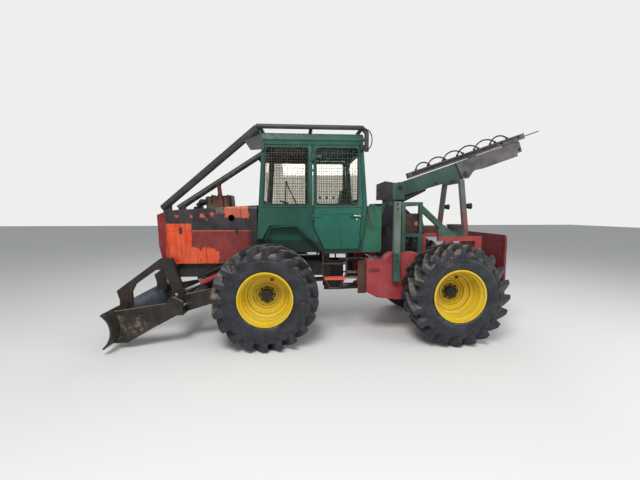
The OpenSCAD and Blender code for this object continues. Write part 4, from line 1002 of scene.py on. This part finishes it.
# %% Bolts of the cutting edge
EDGE_TURN = math.radians(222)
BLADE_R = 259
away = Vector((math.cos(EDGE_TURN), 0, math.sin(EDGE_TURN)))
edge_bolts = []
for y in range(-900, 901, 150):
    edge_bolts += nut(Vector((2183, y, 305)) + away * BLADE_R, -away, 13, 6, 0.5)
fit("blade_bolts", edge_bolts, blade_steel, "blade_assembly")

# %% Pin caps of the blade's arms
ARM_PIN = (380, 740)
cap_bolts = [(ARM_PIN[0] + x, 614, ARM_PIN[1] + z) for x, z in around(30, map(math.degrees, (0.5, 2.6, 4.7)))]
arm_caps = [rod((ARM_PIN[0], 600, ARM_PIN[1]), (ARM_PIN[0], 616, ARM_PIN[1]), 48, 32, 4),
            *ring_of(cap_bolts, (0, 1, 0), radius=8, height=5, stud=2)]
fit("arm_pin_caps", both_sides(arm_caps), bolt_black, "blade_assembly")

# %% Guard tubes over the blade's cylinders
barrel_way = Vector((800, 0, -350)).normalized()
over = Vector((350, 0, 800)).normalized()
barrel_eye = Vector((450, 449, 1020))
GUARD_OVER = 92
guard_line = barrel_eye + over * GUARD_OVER
guards = [rod(guard_line + barrel_way * 90, guard_line + barrel_way * 560, 26, 24, 4)]
for along in (140, 500):
    foot = barrel_eye + barrel_way * along + Vector((0, 8, 0))
    guards.append(rod(foot + over * 28, foot + over * 72, 12, 10, 1))
fit("cylinder_guards", both_sides(guards), frame_black, "lift_barrels")

# %% [markdown]
# ## Rear frame
# The red boxes have pressed slots, the crane column stands on two arcs of nuts, and work lamps with
# glass fronts look back over the winch. The winch drum is wound full of rope.

# %% Box slots, column nuts and the rear frame's bolts
slots = [block((-1575, 596, z), (-1415, 604, z + 8), 1.5) for z in (948, 970, 992)]
fit("box_slots", both_sides(slots), frame_black, "rear_frame")
DRUM = (-2175, 1630)
column_ring = [(-1865 + x, y, 1570.5) for x, y in around(116, (-28, 0, 28, 152, 180, 208))]
fit("column_nuts", ring_of(column_ring, (0, 0, 1), radius=11, height=9, stud=4), bolt_black, "column")
tower_bolts = ring_of([(-1792, 700, z) for z in (1120, 1200, 1840, 1910)], (0, 1, 0), radius=12, height=8,
                      stud=5)
bearing_ring = [(DRUM[0] + x, 390, DRUM[1] + z) for x, z in around(58, range(45, 360, 90))]
bearing_nuts = ring_of(bearing_ring, (0, 1, 0), radius=11, height=8, stud=4)
tail_bolts = ring_of([(-3389, y, z) for y in (-600, -440, -200, 200, 440, 600) for z in (700, 1050, 1380)],
                     (1, 0, 0), radius=11, height=7, stud=4)
fit("rear_bolts", both_sides(tower_bolts + bearing_nuts) + tail_bolts, bolt_black, "rear_frame")

# %% Work lamps
LAMP_Z = 1890
lamp_rims, lamp_panes = [], []
for y in (-355, 355):
    rim = [at(-3017, y + across, LAMP_Z + up) for across, up in around(44, range(0, 360, 15))]
    lamp_rims.append(tube(rim, 4))
    lamp_panes.append(rod((-3016, y, LAMP_Z), (-3022, y, LAMP_Z), 42, 28, 3))
fit("lamp_rims", lamp_rims, bolt_black, "rear_frame")
fit("lamp_panes", lamp_panes, lamp_glass, "rear_frame")

# %% Caps of the boom's pin
boom_caps = both_sides([rod((BOOM_PIN[0], 127, BOOM_PIN[1]), (BOOM_PIN[0], 140, BOOM_PIN[1]), 40, 32, 4)])
fit("boom_pin_caps", boom_caps, bolt_black, "column")

# %% Rope wound on the two halves of the drum
ROPE_TURNS = 20
TURN_W = 0.290 / ROPE_TURNS
CORE_R = 0.0785
WOUND_R = 0.0935
WOUND_RISE = 0.0055
FLANGE_HALF = 0.0085
# Where along one turn, and how much of the rise: a turn of rope is a low round hump
HUMP = ((0.06, 0.0), (0.25, 0.8), (0.5, 1.0), (0.75, 0.8), (0.94, 0.0))
outer = []
for k in range(ROPE_TURNS):
    for share, bump in HUMP:
        outer.append((WOUND_R + WOUND_RISE * bump, FLANGE_HALF + (k + share) * TURN_W))
profile = [(CORE_R, outer[0][1]), *outer, (CORE_R, outer[-1][1]), (CORE_R, outer[0][1])]
winding = merged("winding", both_sides([spun("winding", profile, 48)]))
winding.data.transform(Matrix.Translation(at(DRUM[0], 0, DRUM[1])))
fit("wound_rope", [winding], rope_steel, "winch", angle=50)

# %% [markdown]
# ## Crane fittings
# Clamps hold the hoses on the rail, and two steel oil pipes run along it. Round caps close the pins.

# %% Clamps, pipes and pin caps of the crane
def turned_to_boom(pieces):
    """Turns pieces that were made flat, with u as minus x and v as z, into the boom's slope."""
    made = merged("on_boom", pieces)
    slope = Matrix.Rotation(BOOM_ANGLE, 4, "Y") @ Matrix.Translation(-at(0, 0, 0))
    made.data.transform(Matrix.Translation(at(BOOM_PIN[0], 0, BOOM_PIN[1])) @ slope)
    return [made]


clamps = []
for middle, chord, rise, offset in HOSE_ARCS:
    for side in (-1, 1):
        x = -middle - side * chord / 2
        clamps.append(block((x - 16, offset - 14, 175.3), (x + 16, offset + 14, 197), 3))
        clamps += nut((x, offset + 14, 184), (0, 1, 0), radius=6, height=4, stud=2)
fit("hose_clamps", turned_to_boom(clamps), bolt_black, "sliding_jib")
pipes = [rod((-260, 59, 150), (-2090, 59, 150), 7, 12, 2), rod((-260, 59, 128), (-1700, 59, 128), 7, 12, 2)]
pipes += [block((-u - 9, 50, 116), (-u + 9, 68, 162), 2) for u in range(340, 2100, 290)]
fit("rail_pipes", turned_to_boom(both_sides(pipes)), bolt_black, "sliding_jib", "bare_steel")
jib_caps = both_sides([rod((-1060, 100, -135), (-1060, 112, -135), 38, 32, 4)])
fit("jib_pin_caps", turned_to_boom(jib_caps), bolt_black, "jib_arm")
rod_caps = both_sides([rod((-2596, 73, 2255), (-2596, 80, 2255), 27, 28, 3)])
fit("cylinder_pin_caps", rod_caps, bolt_black, "boom")

# %% Finish of the hoses and the rope
for piece, exit_at, length in rail_hoses:
    dress(piece, hose_black, "sliding_jib")
    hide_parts("beam_hoses")
    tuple(exit_at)
piece, exit_at, length = guard_hose
dress(piece, hose_black, "front_frame")
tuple(exit_at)
piece, exit_at, length = beam_rope
dress(piece, rope_steel, "rear_frame")
last_way = (rope_way[-1] - rope_way[-3]).normalized()
tip = (rope_way[-1] - at(0, 0, 0)) * 1000
ferrule = fit("rope_ferrule", [rod(tip - last_way * 4, tip + last_way * 45, 10, 16, 3)], bolt_black,
              "rear_frame", "bare_steel")
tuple(exit_at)

# %% [markdown]
# ## Tank and plates
# The green tank has a filler cap and a bar across its corner. A brown rubber plate hangs in front of
# each red box, on three bolted strips.

# %% Tank caps and bars, and the plates of the boxes
tank_parts = both_sides([
    rod((-1480, 480, 1884), (-1480, 480, 1908), 42, 32, 4),
    rod((-1480, 480, 1906), (-1480, 480, 1918), 30, 12, 3),
    rod((-1392, 619, 1872), (-1446, 619, 1590), 8, 12, 2)])
fit("tank_fittings", tank_parts, rest_grey, "front_frame")
plates = [block((-1389, 562, 640), (-1268, 576, 1112), 3)]
for z in (650, 860, 1070):
    plates.append(block((-1389, 576, z), (-1268, 582, z + 30), 2))
    plates.append(rod((-1330, 582, z + 15), (-1330, 588, z + 15), 9, 6, 1))
fit("box_plates", both_sides(plates), brown_plate, "rear_frame")

# %% [markdown]
# ## Seat
# The seat is foam under worn dark cloth. A slightly smaller block is filled by a short cloth simulation
# with air pressure and no gravity, no point may move further than a cap, and the sewn channels are
# pressed in afterwards.

# %% Cushions by cloth simulation
SEAT_VOXEL = 0.006
SEAT_CAP = 0.022
SEAT_FRAMES = 20
SEAM_WIDTH = 0.007
SEAM_DEPTH = 0.007


def cushion(name, shape, low, high, press):
    """Shape turns a corner of a unit cube into a place in mm. Press moves a point into a sewn channel."""
    made = begin(name, "cube", size=1, location=(0.5, 0.5, 0.5))
    for v in made.data.vertices:
        v.co = at(*shape(v.co.x > 0.5, v.co.y > 0.5, v.co.z > 0.5))
    bevel(made, 0.018, 3)
    remesh = made.modifiers.new("remesh", "REMESH")
    remesh.mode = "VOXEL"
    remesh.voxel_size = SEAT_VOXEL
    bpy.ops.object.modifier_apply(modifier=remesh.name)
    start = [v.co.copy() for v in made.data.vertices]
    cloth = made.modifiers.new("cloth", "CLOTH")
    cloth.settings.use_pressure = True
    cloth.settings.uniform_pressure_force = 4
    cloth.settings.effector_weights.gravity = 0
    cloth.settings.mass = 0.3
    cloth.point_cache.frame_end = SEAT_FRAMES
    for frame_number in range(1, SEAT_FRAMES + 1):
        bpy.context.scene.frame_set(frame_number)
    bpy.ops.object.modifier_apply(modifier=cloth.name)
    bpy.context.scene.frame_set(1)
    lowest, highest = at(*low), at(*high)
    for v, first in zip(made.data.vertices, start):
        moved = v.co - first
        if moved.length > SEAT_CAP:
            moved *= SEAT_CAP / moved.length
        place = press(first + moved)
        v.co = [min(max(c, a), b) for c, a, b in zip(place, lowest, highest)]
    rounded = made.modifiers.new("rounded", "SUBSURF")
    rounded.levels = rounded.render_levels = 1
    bpy.ops.object.modifier_apply(modifier=rounded.name)
    bpy.ops.object.shade_smooth()
    dress(made, seat_cloth, "front_frame")
    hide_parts("seat")
    print(name, "triangles", 2 * len(made.data.polygons))
    return made


def seam(value, lines):
    """How deep a sewn channel is at this place, from the nearest line."""
    off = min(abs(value - line) for line in lines)
    return SEAM_DEPTH * math.exp(-(off / SEAM_WIDTH) ** 2)


def press_base(place):
    deep = seam(place.y, (-0.09, 0.09)) if place.z > at(0, 0, 1640).z else 0
    return place - Vector((0, 0, deep))


def press_back(place):
    deep = seam(place.z, (1.83, 1.98)) if place.x > at(-1092, 0, 0).x else 0
    return place - Vector((deep, 0, 0))


def base_shape(front, left, top):
    """A corner of the seat's base, by which side it is on."""
    return (-632 if front else -1108, 228 if left else -228, 1662 if top else 1563)


def back_shape(front, left, top):
    """A corner of the backrest, which leans back."""
    rear_x, front_x = (-1190, -1122) if top else (-1122, -1036)
    return (front_x if front else rear_x, 218 if left else -218, 2168 if top else 1688)


cushion("seat_base", base_shape, (-1120, -240, 1560.5), (-620, 240, 1674), press_base)
cushion("seat_back", back_shape, (-1200, -230, 1676), (-1020, 230, 2180), press_back)
